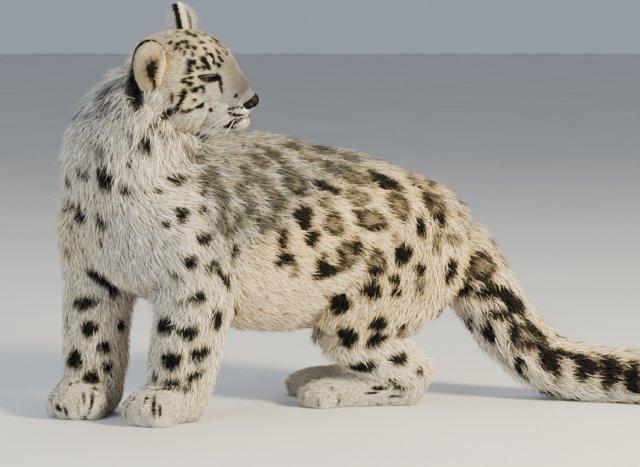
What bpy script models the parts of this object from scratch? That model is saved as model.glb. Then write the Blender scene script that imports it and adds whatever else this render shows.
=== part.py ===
"""A snow leopard cub, life size, standing with its head turned back over its left shoulder.

The outline of the coat is modelled whole, from tubes and rounded masses laid along the animal's
joints. They are fused into one surface, which is parted into named pieces with thin cuts.
Places and sizes in the tables are in millimetres; the objects are in metres, +Z up.
The cub faces -X, turned towards -Y in front, and its tail lies towards +X.
"""

import math
import random

import bmesh
import bpy
import numpy as np
from mathutils import Matrix, Vector
from mathutils.bvhtree import BVHTree

MM = 0.001
UP = Vector((0, 0, 1))

# Driving sizes
GAP = 0.3
WELD = 0.02
FINE_VOXEL = 2.2
BODY_VOXEL = 4.0
BODY_TRIANGLES = 3200
HEAD_TRIANGLES = 2600
EAR_VOXEL = 1.6
EAR_TRIANGLES = 340
NOSE_TRIANGLES = 300
# How often each fused surface is smoothed
BODY_ROUNDS = 10
HEAD_ROUNDS = 7
NOSE_ROUNDS = 4
EAR_ROUNDS = 3

# How many sides the broad tubes have, and which way the tubes' widths point
BROAD_SIDES = 28
ACROSS_CHEST = (0.8, -0.6, 0)
ACROSS_HIPS = (0.05, -1, 0)

# The trunk, from the rump to the chest: x, y, z, half width, half height
TRUNK = (
    (226, 158, 234, 30, 38),
    (204, 158, 238, 62, 72),
    (166, 156, 243, 84, 94),
    (105, 149, 250, 97, 110),
    (30, 131, 261, 106, 128),
    (-50, 103, 262, 114, 145),
    (-130, 64, 276, 119, 147),
    (-206, 20, 294, 122, 133),
    (-258, -30, 302, 115, 116),
    (-291, -69, 304, 88, 94),
    (-309, -95, 300, 42, 50),
)
# The neck with its ruff, from between the shoulders up to the skull
NECK = (
    (-272, -8, 330, 112, 103),
    (-276, -18, 385, 109, 103),
    (-270, -30, 428, 95, 95),
    (-256, -40, 464, 78, 82),
    (-240, -48, 494, 60, 62),
    (-222, -56, 514, 44, 46),
)
# The tail, laid on the floor, from the rump to its tip: x, y, z, half width, half height
TAIL = (
    (190, 156, 256, 49, 49),
    (222, 158, 222, 51, 51),
    (256, 160, 164, 49, 51),
    (297, 160, 106, 47, 48),
    (347, 156, 62, 46, 46),
    (408, 146, 43, 43, 44),
    (470, 130, 38, 41, 41),
    (530, 104, 37, 40, 39),
    (588, 62, 36, 38, 37),
    (628, 4, 34, 35, 34),
    (640, -56, 30, 30, 30),
    (636, -96, 25, 20, 22),
    (630, -118, 20, 8, 10),
)
# Each leg's stations from its root down: x, y, z, half width, half depth
LEFT_FORELEG = (
    (-180, -22, 345, 36, 58),
    (-188, -58, 285, 50, 72),
    (-182, -44, 212, 53, 62),
    (-194, -46, 140, 52, 55),
    (-205, -55, 78, 47, 50),
    (-212, -62, 34, 42, 44),
)
RIGHT_FORELEG = (
    (-304, 62, 345, 38, 60),
    (-328, 32, 285, 54, 74),
    (-332, 44, 212, 51, 60),
    (-338, 34, 140, 48, 50),
    (-340, 22, 78, 45, 47),
    (-344, 14, 34, 40, 42),
)
LEFT_THIGH = (
    (160, 122, 292, 40, 62),
    (142, 104, 240, 50, 88),
    (98, 86, 182, 50, 84),
    (44, 68, 134, 42, 54),
    (24, 60, 112, 30, 36),
)
RIGHT_THIGH = (
    (150, 188, 292, 40, 62),
    (130, 206, 240, 50, 88),
    (84, 222, 182, 50, 84),
    (28, 234, 134, 42, 54),
    (6, 238, 112, 30, 36),
)
LEFT_SHANK = (
    (30, 64, 122, 38, 44),
    (84, 82, 86, 35, 44),
    (132, 97, 52, 31, 36),
    (146, 101, 34, 28, 32),
)
RIGHT_SHANK = (
    (12, 234, 122, 38, 44),
    (66, 226, 86, 35, 44),
    (112, 216, 52, 31, 36),
    (126, 212, 34, 28, 32),
)
# A foot's stations along its heading: forward, height, half width, half height
FOREFOOT = (
    (-38, 32, 26, 28),
    (-16, 36, 40, 38),
    (16, 34, 44, 35),
    (50, 28, 45, 29),
    (72, 23, 37, 23),
    (86, 18, 20, 14),
)
HINDFOOT = (
    (-22, 34, 18, 22),
    (-4, 38, 28, 38),
    (40, 30, 28, 30),
    (96, 25, 30, 25),
    (136, 22, 35, 23),
    (160, 17, 30, 17),
    (172, 13, 16, 10),
)
TOE_SPREAD = (-0.74, -0.26, 0.26, 0.74)
TOE_SET_BACK = (11, 0, 0, 11)
FORE_TOES = (62, (24, 12.5, 20))
HIND_TOES = (150, (22, 10.5, 15))
# Half the height of the block below the floor, and how far it reaches
UNDERFLOOR = 500
FLOOR_REACH = 2000
# How deep the soles press into the floor before they are cut flat
SOLE_SINK = 3.5

# Each foot: where its ankle stands on the floor, its heading in degrees from -X towards -Y,
# its stations, and how far forward its toes lie, with a toe's radii
FEET = {
    "left_fore": ((-210, -60), 38, FOREFOOT, FORE_TOES),
    "right_fore": ((-343, 18), 64, FOREFOOT, FORE_TOES),
    "left_hind": ((142, 101), 6, HINDFOOT, HIND_TOES),
    "right_hind": ((122, 213), 2, HINDFOOT, HIND_TOES),
}

# The head: the middle of its skull, and how it is turned
HEAD_PLACE = (-201, -60, 528)
HEAD_YAW, HEAD_PITCH, HEAD_ROLL = -17.0, 8.0, 28.0
# The skull and muzzle along the head's own forward axis: forward, height, half width, half height
SKULL = (
    (-72, -15, 20, 20),
    (-60, -12, 39, 34),
    (-36, -4, 53, 44),
    (-6, 0, 59, 49),
    (20, 0, 56, 49),
    (42, -8, 46, 44),
    (60, -22, 34, 38),
    (78, -34, 27, 32),
    (92, -42, 21, 25),
    (103, -47, 14, 16),
    (109, -48, 7, 8),
)
# Rounded masses of the head, one side: place (forward, left, height) and radii
HEAD_MASSES = (
    ((8, 40, -36), (44, 26, 42)),
    ((-30, 42, -30), (38, 28, 42)),
    ((42, 25, 18), (22, 15, 10)),
    ((84, 14, -50), (24, 14, 18)),
    ((54, 22, -52), (30, 20, 26)),
    ((38, 34, -16), (26, 14, 18)),
)
# The muzzle's bridge, chin and lower jaw: forward, left, height, half width, half height
BRIDGE = (
    (26, 0, 26, 24, 18),
    (54, 0, 6, 17, 15),
    (78, 0, -12, 15, 13),
    (104, 0, -31, 11, 8),
)
JAW = (
    (100, 0, -76, 6, 5),
    (92, 0, -78, 14, 11),
    (72, 0, -80, 22, 14),
    (44, 0, -74, 34, 22),
    (4, 0, -62, 44, 32),
    (-34, 0, -48, 44, 32),
)
# The nose pad: its middle, its side lobes and its nostrils
NOSE_MASSES = (
    ((103, 0, -39), (13.5, 13, 13)),
    ((98, 9, -42), (14, 9, 9)),
    ((98, -9, -42), (14, 9, 9)),
)
NOSTRIL_PLACE = (112, 8, -43)
NOSTRIL_RADII = (6, 2.4, 3.4)
# The mouth: how far its line turns round the muzzle from the front, in degrees, and its height there
MOUTH_CENTRE = (58, 0)
MOUTH_LINE = ((0, -58), (25, -58), (58, -66), (74, -74), (100, -78))
LIP_GROOVE = 1.7
# The eyes, and the almond between their lids
EYE_PLACE = (47, 29.5, 9)
EYE_RADIUS = 12.5
LID_THICKNESS = 2.4
EYE_FACING = (0.74, 0.66, 0.08)
EYE_OPENING = (11.6, 4.8)
EYE_SLANT = 12.0
# The almond's cutter: steps along each lid, how pointed its corners are, and its length in radii
ALMOND_STEPS = 10
ALMOND_POINT = 0.35
ALMOND_REACH = 2.5
# The ears: place, radii (across, up, deep), the way they point up and the way their cups face
EARS = {
    "left": ((-27, 57, 33), (25, 32, 17), (-0.2, 0.1, 0.97), (0.84, 0.52, 0.1)),
    "right": ((-29, -58, 27), (25, 46, 19), (-0.06, 0.04, 1), (0.62, -0.77, -0.05)),
}
EAR_WALL = 4.2
EAR_ROOM = 0.6
EAR_HOLLOW_SHIFT = (0, 3, 9)
# How much broader an ear grows towards its tip
EAR_SPREAD = 0.18

# Colour and roughness of each kind of piece
LOOKS = {
    "head": ((0.62, 0.55, 0.42), 0.85),
    "nose": ((0.03, 0.028, 0.03), 0.4),
    "eye": ((0.2, 0.24, 0.2), 0.08),
    "ear": ((0.4, 0.34, 0.25), 0.85),
    "neck": ((0.58, 0.56, 0.5), 0.9),
    "chest": ((0.52, 0.5, 0.44), 0.9),
    "loin": ((0.48, 0.45, 0.38), 0.9),
    "thigh": ((0.55, 0.5, 0.4), 0.9),
    "fore": ((0.6, 0.58, 0.52), 0.88),
    "hind": ((0.62, 0.56, 0.46), 0.88),
    "tail": ((0.5, 0.48, 0.42), 0.92),
}
SHARP_ANGLE = 50

# The long coat's locks on each piece: how many, how long and how broad, how far they stand off
# as a share of LOCK_SHAPE, the way they lie, and the way the surface that carries them faces
TAIL_LIES = ((0.5, 0, -0.86), (0.87, 0, -0.45), (0.94, -0.33, 0), (0.25, -0.97, 0))
LOCKS = {
    "neck": (30, 62, 18, 1.0, (0.12, 0.05, -1), (-0.45, -0.6, -0.05)),
    "chest": (46, 60, 18, 1.2, (0.3, 0.12, -0.95), (-0.5, -0.35, -0.6)),
    "loin": (20, 54, 17, 1.7, (0.9, 0.25, -0.3), (-0.1, -0.25, -0.95)),
    "thigh_left": (12, 46, 16, 1.4, (0.55, 0.1, -0.8), (0.9, -0.2, -0.1)),
    "thigh_right": (12, 46, 16, 1.4, (0.55, -0.1, -0.8), (0.9, 0.2, -0.1)),
    "tail_1": (12, 54, 17, 1.0, TAIL_LIES[0], (0, 0, 0)),
    "tail_2": (12, 54, 17, 1.0, TAIL_LIES[1], (0, 0, 0)),
    "tail_3": (12, 52, 17, 1.0, TAIL_LIES[2], (0, 0, 0)),
    "tail_4": (12, 48, 16, 1.0, TAIL_LIES[3], (0, 0, 0)),
}
LOCK_SEED = 11
LOCK_THICKNESS = 4.5
# A lock's stations: how far along its length, how far from the surface, and its share of the width
LOCK_SHAPE = ((-0.12, -7, 0.7), (0.25, 1.0, 1.0), (0.62, 5.5, 0.72), (1.0, 8.5, 0))
LOCK_CLEARANCE = 0.6
LOCK_SPACING = 24
LOCK_TRIES = 150
LOCK_RANGE = (0.75, 1.15)
LOCK_TURN = 0.3
# The least share of a root's surface that faces the right way, and of the lie that runs along it
LOCK_FACING = 0.25
LOCK_LEVEL = 0.2

# Where the pieces part: a point of each cut and the way to the piece that is taken off
HEAD_CUT = ((-30, 0, -50), (0.62, 0, 0.78), 130)
NECK_CUT = ((-262, -20, 395), (-0.285, -0.41, 0.87), 170)
CHEST_CUT = ((-90, 85, 265), (-0.9, -0.42, 0.08), 330)
TAIL_CUTS = (
    ((246, 159, 192), (0.5, 0, -0.86)),
    ((322, 159, 88), (0.75, 0, -0.66)),
    ((452, 135, 42), (0.96, -0.26, 0)),
    ((575, 72, 39), (0.8, -0.6, 0)),
)
TAIL_REACH = 420
FOOT_TOPS = {"fore": 62, "hind": 58}
FOOT_BOXES = {"fore": (22, 98, 58), "hind": (70, 126, 50)}
LEG_TOPS = {"fore": 176, "hind": 117}
LEG_BOXES = {"left_fore": (-194, -50, 72), "right_fore": (-338, 32, 66),
             "left_hind": (88, 86, 116), "right_hind": (66, 222, 116)}
LEG_SPREAD = {"fore": 1.0, "hind": 0.57}
THIGHS = {"left": (88, 84, 196), "right": (74, 224, 196)}
THIGH_RADII = (120, 67, 118)


def millimetres(values):
    return Vector(values) * MM


def unit(values):
    return Vector(values).normalized()


def smoothed(stations, per_span):
    """Rows of numbers, drawn as a smooth curve through them with per_span steps between two."""
    rows = np.asarray(stations, float)
    rows = np.vstack([2 * rows[0] - rows[1], rows, 2 * rows[-1] - rows[-2]])
    steps = np.arange(per_span)[:, None] / per_span
    curve = []
    for a, b, c, d in zip(rows, rows[1:], rows[2:], rows[3:]):
        curve.append(0.5 * (2 * b + (c - a) * steps + (2 * a - 5 * b + 4 * c - d) * steps**2
                            + (3 * b - a - 3 * c + d) * steps**3))
    return np.vstack([*curve, rows[-2]])


def add_tube(bm, stations, side=None, matrix=None, sides=20, per_span=5):
    """A closed tube through stations of x, y, z, half width and half depth, its width along side."""
    rows = smoothed(stations, per_span) * MM
    matrix = matrix or Matrix.Identity(4)
    tangents = np.gradient(rows[:, :3], axis=0)
    rings = []
    for row, tangent in zip(rows, tangents):
        along = Vector(tangent).normalized()
        across = Vector(side) if side else UP.cross(along)
        across = (across - across.dot(along) * along).normalized()
        deep = along.cross(across)
        half_width, half_depth = np.maximum(row[3:5], MM)
        ring = []
        for k in range(sides):
            angle = 2 * math.pi * k / sides
            offset = across * half_width * math.cos(angle) + deep * half_depth * math.sin(angle)
            ring.append(bm.verts.new(matrix @ (Vector(row[:3]) + offset)))
        rings.append(ring)
    for near, far in zip(rings, rings[1:]):
        for k in range(sides):
            bm.faces.new((near[k], near[k - 1], far[k - 1], far[k]))
    bm.faces.new(rings[0])
    bm.faces.new(reversed(rings[-1]))


def add_mass(bm, place, radii, matrix=None, detail=3):
    """A rounded mass: an ellipsoid at place, within the frame that matrix gives."""
    shape = Matrix.Translation(millimetres(place)) @ Matrix.Diagonal((*millimetres(radii), 1))
    shape = (matrix or Matrix.Identity(4)) @ shape
    bmesh.ops.create_icosphere(bm, subdivisions=detail, radius=1, matrix=shape)


def midline(stations):
    """Stations of forward, height, half width and half height, put on the middle line."""
    return [(forward, 0, height, *half_sizes) for forward, height, *half_sizes in stations]


def add_foot(bm, ankle, heading, stations, toes):
    """A foot flat on the floor: its tube and four toes at its front."""
    toe_reach, toe_radii = toes
    turn = Matrix.Rotation(math.radians(180 + heading), 4, "Z")
    matrix = Matrix.Translation(millimetres((*ankle, -SOLE_SINK))) @ turn
    add_tube(bm, midline(stations), side=(0, 1, 0), matrix=matrix)
    broad = max(row[2] for row in stations)
    for spread, set_back in zip(TOE_SPREAD, TOE_SET_BACK):
        place = (toe_reach - set_back, spread * broad, toe_radii[2] - 1)
        add_mass(bm, place, toe_radii, matrix)


def head_matrix():
    """Places the head's own frame: forward, left and up."""
    yaw = Matrix.Rotation(math.radians(HEAD_YAW), 4, "Z")
    pitch = Matrix.Rotation(math.radians(HEAD_PITCH), 4, "Y")
    roll = Matrix.Rotation(math.radians(HEAD_ROLL), 4, "X")
    return Matrix.Translation(millimetres(HEAD_PLACE)) @ yaw @ pitch @ roll


def mirrored(values, side):
    return (values[0], side * values[1], values[2])


def add_head(bm):
    """Skull, muzzle, cheeks, brows, jaw and chin, the same on both sides."""
    matrix = head_matrix()
    add_tube(bm, midline(SKULL), side=(0, 1, 0), matrix=matrix)
    add_tube(bm, BRIDGE, side=(0, 1, 0), matrix=matrix)
    add_tube(bm, JAW, side=(0, 1, 0), matrix=matrix)
    lids = (EYE_PLACE, [EYE_RADIUS + LID_THICKNESS] * 3)
    for place, radii in (*HEAD_MASSES, lids):
        for side in (-1, 1):
            add_mass(bm, mirrored(place, side), radii, matrix)


def add_body(bm):
    add_tube(bm, TRUNK, sides=BROAD_SIDES)
    add_tube(bm, TAIL, side=(0, 1, 0))
    for leg in (LEFT_FORELEG, RIGHT_FORELEG):
        add_tube(bm, leg, side=ACROSS_CHEST)
    for leg in (LEFT_THIGH, RIGHT_THIGH, LEFT_SHANK, RIGHT_SHANK):
        add_tube(bm, leg, side=ACROSS_HIPS)
    for ankle, heading, stations, toes in FEET.values():
        add_foot(bm, ankle, heading, stations, toes)


def add_neck(bm):
    add_tube(bm, NECK, side=ACROSS_CHEST, sides=BROAD_SIDES)


def object_of(name, bm):
    """A new object in the scene, holding the mesh of bm, which is freed."""
    bmesh.ops.recalc_face_normals(bm, faces=bm.faces)
    mesh = bpy.data.meshes.new(name)
    bm.to_mesh(mesh)
    bm.free()
    made = bpy.data.objects.new(name, mesh)
    bpy.context.scene.collection.objects.link(made)
    return made


def settle(made):
    """Applies an object's modifiers."""
    graph = bpy.context.evaluated_depsgraph_get()
    mesh = bpy.data.meshes.new_from_object(made.evaluated_get(graph))
    made.modifiers.clear()
    made.data = mesh
    return made


def discard(*objects):
    for made in objects:
        bpy.data.objects.remove(made)


def copy_of(made, name):
    twin = made.copy()
    twin.data = made.data.copy()
    twin.name = name
    bpy.context.scene.collection.objects.link(twin)
    return twin


def boolean(target, cutter, operation="DIFFERENCE"):
    """Cuts target by a helper object, which is then gone."""
    cut = target.modifiers.new("Cut", "BOOLEAN")
    cut.object = cutter
    cut.operation = operation
    settle(target)
    discard(cutter)
    return target


def fuse(made, voxel, rounds, triangles):
    """Makes an object one closed surface, smoothed and thinned out to about that many triangles."""
    remesh = made.modifiers.new("Fuse", "REMESH")
    remesh.mode = "VOXEL"
    remesh.voxel_size = voxel * MM
    smooth = made.modifiers.new("Blend", "SMOOTH")
    smooth.factor = 0.5
    smooth.iterations = rounds
    settle(made)
    thin = made.modifiers.new("Thin", "DECIMATE")
    thin.ratio = triangles / (2 * len(made.data.polygons))
    return settle(made)


def built(name, *builders):
    """An object holding what each builder adds, in closed pieces that cross."""
    bm = bmesh.new()
    for build in builders:
        build(bm)
    return object_of(name, bm)


def mass_object(name, place, radii, matrix=None, detail=3):
    bm = bmesh.new()
    add_mass(bm, place, radii, matrix, detail)
    return object_of(name, bm)


def grown(made, by):
    """A copy of an object whose surface lies further out by that many millimetres."""
    twin = copy_of(made, "grown")
    places = [vertex.co + vertex.normal * by * MM for vertex in twin.data.vertices]
    for vertex, place in zip(twin.data.vertices, places):
        vertex.co = place
    return twin


def block(middle, half_sizes, turn=None):
    """A box, in millimetres, as a cutter."""
    bm = bmesh.new()
    shape = Matrix.Translation(millimetres(middle)) @ (turn or Matrix.Identity(4))
    shape = shape @ Matrix.Diagonal((*(2 * millimetres(half_sizes)), 1))
    bmesh.ops.create_cube(bm, size=1, matrix=shape)
    return object_of("block", bm)


def beyond(point, normal, reach, matrix=None):
    """A block whose one face lies at point and which fills the side that normal points to."""
    turn = unit(normal).to_track_quat("Z", "Y").to_matrix().to_4x4()
    made = block(Vector(point) + unit(normal) * reach, (reach, reach, reach), turn)
    if matrix:
        made.data.transform(matrix)
    return made


def welded(bm):
    """Makes corners that all but touch one, where the surface stays closed that way."""
    for reach in (WELD, WELD / 10):
        trial = bm.copy()
        bmesh.ops.remove_doubles(trial, verts=trial.verts, dist=reach * MM)
        bmesh.ops.dissolve_degenerate(trial, edges=trial.edges, dist=reach * MM)
        if all(edge.is_manifold for edge in trial.edges):
            bm.free()
            return trial
        trial.free()
    return bm


def largest(made):
    """Keeps an object's largest closed surface."""
    bm = bmesh.new()
    bm.from_mesh(made.data)
    left, groups = set(bm.verts), []
    while left:
        group, front = set(), {next(iter(left))}
        while front:
            group |= front
            front = {edge.other_vert(vertex) for vertex in front for edge in vertex.link_edges} - group
        groups.append(group)
        left -= group
    keep = max(groups, key=len)
    bmesh.ops.delete(bm, geom=[vertex for vertex in bm.verts if vertex not in keep], context="VERTS")
    bm = welded(bm)
    bm.to_mesh(made.data)
    bm.free()
    return made


def taken(body, name, region):
    """Parts body where region's surface runs through it: what lies inside becomes a piece of that name."""
    piece = boolean(copy_of(body, name), grown(region, -GAP / 2), "INTERSECT")
    boolean(body, grown(region, GAP / 2))
    discard(region)
    largest(body)
    return largest(piece)


def seated(insert, host, hull=None):
    """Sinks a socket for insert into host, with the gap all round."""
    boolean(host, grown(hull or insert, GAP))
    if hull:
        discard(hull)
    return insert


def ear_mass(name, place, radii, frame):
    """A rounded mass in an ear's own frame, which grows broader towards the ear's tip."""
    made = mass_object(name, place, radii)
    for vertex in made.data.vertices:
        vertex.co.x *= 1 + EAR_SPREAD * vertex.co.y / (radii[1] * MM)
    made.data.transform(frame)
    return made


def make_ear(side, head):
    """A cup whose hollow is its own shape made smaller and moved the way it faces."""
    place, radii, up, facing = EARS[side]
    facing = unit(facing)
    across = unit(up).cross(facing).normalized()
    turn = Matrix((across, facing.cross(across), facing)).transposed().to_4x4()
    frame = head_matrix() @ Matrix.Translation(millimetres(place)) @ turn
    ear = ear_mass("ear_" + side, (0, 0, 0), radii, frame)
    hull = ear_mass("hull", (0, 0, 0), [radius + EAR_ROOM for radius in radii], frame)
    boolean(ear, ear_mass("hollow", EAR_HOLLOW_SHIFT, [radius - EAR_WALL for radius in radii], frame))
    fuse(ear, EAR_VOXEL, EAR_ROUNDS, EAR_TRIANGLES)
    return seated(ear, head, hull)


def almond(place, facing, half_width, half_height):
    """A cutter with an almond outline, from an eye's middle outwards."""
    forward = unit(facing)
    level = UP.cross(forward).normalized()
    slant = Matrix.Rotation(math.radians(EYE_SLANT) * (1 if facing[1] > 0 else -1), 3, forward)
    level = slant @ level
    rise = forward.cross(level)
    bm = bmesh.new()
    outline = []
    for k in range(2 * ALMOND_STEPS):
        angle = math.pi * k / ALMOND_STEPS
        height = math.sin(angle) * abs(math.sin(angle)) ** ALMOND_POINT
        outline.append(level * half_width * math.cos(angle) + rise * half_height * height)
    reach = ALMOND_REACH * EYE_RADIUS
    near, far = ([bm.verts.new((Vector(place) + offset + forward * depth) * MM) for offset in outline]
                 for depth in (0, reach))
    bm.faces.new(near)
    bm.faces.new(far)
    for k in range(len(outline)):
        bm.faces.new((near[k - 1], near[k], far[k], far[k - 1]))
    bm.transform(head_matrix())
    return object_of("almond", bm)


def make_eye(name, side, head):
    place = mirrored(EYE_PLACE, side)
    eye = mass_object(name, place, [EYE_RADIUS] * 3, head_matrix(), detail=2)
    boolean(head, almond(place, mirrored(EYE_FACING, side), *EYE_OPENING))
    return seated(eye, head)


def add_nose(bm):
    for place, radii in NOSE_MASSES:
        add_mass(bm, place, radii, head_matrix())


def make_nose(head):
    nose = fuse(built("nose", add_nose), FINE_VOXEL / 2, NOSE_ROUNDS, NOSE_TRIANGLES)
    seated(nose, head)
    for side in (-1, 1):
        place = mirrored(NOSTRIL_PLACE, side)
        boolean(nose, mass_object("nostril", place, NOSTRIL_RADII, head_matrix(), detail=2))
    return largest(nose)


def cut_mouth(head):
    """A groove round the muzzle, laid on the surface that it cuts."""
    inverse = head_matrix().inverted()
    points = []
    turns = [(-angle, height) for angle, height in reversed(MOUTH_LINE[1:])] + list(MOUTH_LINE)
    for angle, height in turns:
        outward = Vector((math.cos(math.radians(angle)), math.sin(math.radians(angle)), 0))
        start = Vector((*MOUTH_CENTRE, height)) + outward * 100
        towards = head_matrix().to_3x3() @ -outward
        hit, point, _, _ = head.ray_cast(head_matrix() @ (start * MM), towards)
        if hit:
            points.append(inverse @ point / MM)
    rows = [(*point, LIP_GROOVE, LIP_GROOVE) for point in points]
    groove = built("groove", lambda bm: add_tube(bm, rows, (0, 0, 1), head_matrix(), sides=6, per_span=3))
    return boolean(head, groove)


def make_head():
    head = fuse(built("head", add_neck, add_head), FINE_VOXEL, HEAD_ROUNDS, HEAD_TRIANGLES)
    region = beyond(*HEAD_CUT, head_matrix())
    boolean(head, grown(region, -GAP / 2), "INTERSECT")
    discard(region)
    cut_mouth(head)
    nose = make_nose(head)
    parts = [head, nose]
    for side, word in ((1, "left"), (-1, "right")):
        parts.append(make_eye("eye_" + word, side, head))
        parts.append(make_ear(word, head))
    largest(head)
    return parts


def leg_boxes(foot):
    """Two cutters for a leg: one round its foot, one round the leg above that."""
    ankle, heading, _, _ = FEET[foot]
    side, pair = foot.split("_")
    ahead, half_length, half_width = FOOT_BOXES[pair]
    turn = Matrix.Rotation(math.radians(180 + heading), 4, "Z")
    middle = Vector((*ankle, 0)) + turn @ Vector((ahead, 0, 0))
    yield block((*middle[:2], 0), (half_length, half_width, FOOT_TOPS[pair]), turn)
    x, y, reach = LEG_BOXES[foot]
    top = LEG_TOPS[pair]
    yield block((x, y, 0), (reach, reach * LEG_SPREAD[pair], top))


def part_body(body):
    pieces = []
    for foot in FEET:
        side, pair = foot.split("_")
        foot_box, leg_box = leg_boxes(foot)
        pieces.append(taken(body, f"{pair}foot_{side}", foot_box))
        pieces.append(taken(body, f"{pair}leg_{side}", leg_box))
    for side, middle in THIGHS.items():
        pieces.append(taken(body, "thigh_" + side, mass_object("region", middle, THIGH_RADII)))
    tail = body
    for k, (point, normal) in enumerate(TAIL_CUTS, start=1):
        tail = taken(tail, f"tail_{k}", beyond(point, normal, TAIL_REACH))
        pieces.append(tail)
    region = beyond(*HEAD_CUT, head_matrix())
    boolean(body, grown(region, GAP / 2))
    discard(region)
    largest(body)
    pieces.append(taken(body, "neck", beyond(*NECK_CUT)))
    pieces.append(taken(body, "chest", beyond(*CHEST_CUT)))
    body.name = "loin"
    return [*pieces, body]


def surface_of(made):
    """A tree of an object's surface, in millimetres."""
    bm = bmesh.new()
    bm.from_mesh(made.data)
    bmesh.ops.triangulate(bm, faces=bm.faces)
    bm.transform(Matrix.Scale(1 / MM, 4))
    tree = BVHTree.FromBMesh(bm)
    bm.free()
    return tree


def scattered(piece, chance, rng):
    """Endless random places on a piece, as likely on every part of its surface, with their normals."""
    triangles, areas = [], []
    for face in piece.data.polygons:
        corners = [piece.data.vertices[k].co / MM for k in face.vertices]
        for near, far in zip(corners[1:], corners[2:]):
            triangles.append((corners[0], near, far, face.normal.copy()))
            areas.append(((near - corners[0]).cross(far - corners[0])).length)
    for _ in range(chance):
        first, second, third, normal = rng.choices(triangles, areas)[0]
        a, b = sorted((rng.random(), rng.random()))
        yield first * a + second * (b - a) + third * (1 - b), normal


def lock_frames(root, lie, length, lift, whole):
    """A lock's stations, laid along the surface of the whole: place, way across and way out."""
    frames = []
    for along, height, _ in LOCK_SHAPE:
        place, normal, _, _ = whole.find_nearest(root + lie * along * length)
        off = height * lift if height > 0 else height
        frames.append((place + normal * off, lie.cross(normal).normalized(), normal))
    return frames


def lock_rings(frames, width, room=0):
    """A lock's three-sided rings and its tip, made larger all round by room."""
    rings = []
    for (spine, across, out), (_, _, share) in zip(frames, LOCK_SHAPE):
        if share:
            wide = across * (width * share / 2 + 2 * room)
            deep = out * (LOCK_THICKNESS * share / 2 + room)
            rings.append([spine - wide - deep, spine + wide - deep, spine + 2 * deep])
        else:
            rings.append([spine + (spine - frames[-2][0]).normalized() * room])
    return rings


def add_lock(bm, rings):
    made = [[bm.verts.new(point) for point in ring] for ring in rings]
    bm.faces.new(made[0])
    for near, far in zip(made, made[1:-1]):
        for k in range(3):
            bm.faces.new((near[k - 1], near[k], far[k]))
            bm.faces.new((near[k - 1], far[k], far[k - 1]))
    for k in range(3):
        bm.faces.new((made[-2][k - 1], made[-2][k], made[-1][0]))


def crosses(rings, others):
    """Whether a lock touches the floor or any of the other surfaces."""
    if min(point.z for ring in rings for point in ring) < 0:
        return True
    bm = bmesh.new()
    add_lock(bm, rings)
    tree = BVHTree.FromBMesh(bm)
    bm.free()
    return any(tree.overlap(other) for other in others)


def chosen_locks(piece, others, whole, rng):
    """The rings of a piece's locks, which keep clear of every other piece."""
    count, length, width, lift, lie, facing = LOCKS[piece.name]
    lie, facing = unit(lie), Vector(facing)
    roots = []
    for root, normal in scattered(piece, LOCK_TRIES * count, rng):
        along = lie - normal * lie.dot(normal)
        if facing.length and normal.dot(facing.normalized()) < LOCK_FACING or along.length < LOCK_LEVEL:
            continue
        if any((root - old).length < LOCK_SPACING for old in roots):
            continue
        along = Matrix.Rotation(rng.uniform(-LOCK_TURN, LOCK_TURN), 3, normal) @ along.normalized()
        size = rng.uniform(*LOCK_RANGE)
        frames = lock_frames(root, along, length * size, lift, whole)
        if crosses(lock_rings(frames, width * size, LOCK_CLEARANCE), others):
            continue
        roots.append(root)
        yield lock_rings(frames, width * size)
        if len(roots) == count:
            break


def unite_locks(piece, locks):
    """Joins a piece with its locks by one union."""
    held = bpy.data.collections.new("locks")
    for rings in locks:
        lock = built("lock", lambda bm: add_lock(bm, [[point * MM for point in ring] for ring in rings]))
        bpy.context.scene.collection.objects.unlink(lock)
        held.objects.link(lock)
    union = piece.modifiers.new("Locks", "BOOLEAN")
    union.solver = "MANIFOLD"
    union.operation = "UNION"
    union.operand_type = "COLLECTION"
    union.collection = held
    settle(piece)
    discard(*held.objects)
    bpy.data.collections.remove(held)
    largest(piece)


def make_coat(pieces):
    """Locks of long coat on every piece that LOCKS lists."""
    surfaces = {piece.name: surface_of(piece) for piece in pieces}
    joined = bmesh.new()
    for piece in pieces:
        if not piece.name.startswith(("eye", "ear", "nose")):
            joined.from_mesh(piece.data)
    body = object_of("whole", joined)
    whole = surface_of(body)
    discard(body)
    rng = random.Random(LOCK_SEED)
    for piece in pieces:
        if piece.name in LOCKS:
            others = [surface for name, surface in surfaces.items() if name != piece.name]
            unite_locks(piece, list(chosen_locks(piece, others, whole, rng)))
            surfaces[piece.name] = surface_of(piece)


def make_body():
    body = fuse(built("body", add_body, add_neck, add_head), BODY_VOXEL, BODY_ROUNDS, BODY_TRIANGLES)
    boolean(body, block((0, 0, -UNDERFLOOR), (FLOOR_REACH, FLOOR_REACH, UNDERFLOOR)))
    return part_body(body)


def painted(piece):
    """Gives a piece its own material, by the longest beginning of its name that LOOKS lists."""
    kind = max((start for start in LOOKS if piece.name.startswith(start)), key=len)
    colour, roughness = LOOKS[kind]
    material = bpy.data.materials.new(piece.name)
    material.use_nodes = True
    surface = material.node_tree.nodes["Principled BSDF"]
    surface.inputs["Base Color"].default_value = (*colour, 1)
    surface.inputs["Roughness"].default_value = roughness
    surface.inputs["Metallic"].default_value = 0
    piece.data.materials.clear()
    piece.data.materials.append(material)
    piece.data.shade_smooth()
    piece.data.set_sharp_from_angle(angle=math.radians(SHARP_ANGLE))


def centred(pieces):
    """Moves the whole so that its box stands on the origin by the middle of its underside."""
    corners = np.array([vertex.co for piece in pieces for vertex in piece.data.vertices])
    low, high = corners.min(axis=0), corners.max(axis=0)
    middle = Vector(((low[0] + high[0]) / 2, (low[1] + high[1]) / 2, low[2]))
    for piece in pieces:
        piece.data.transform(Matrix.Translation(-middle))


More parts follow.
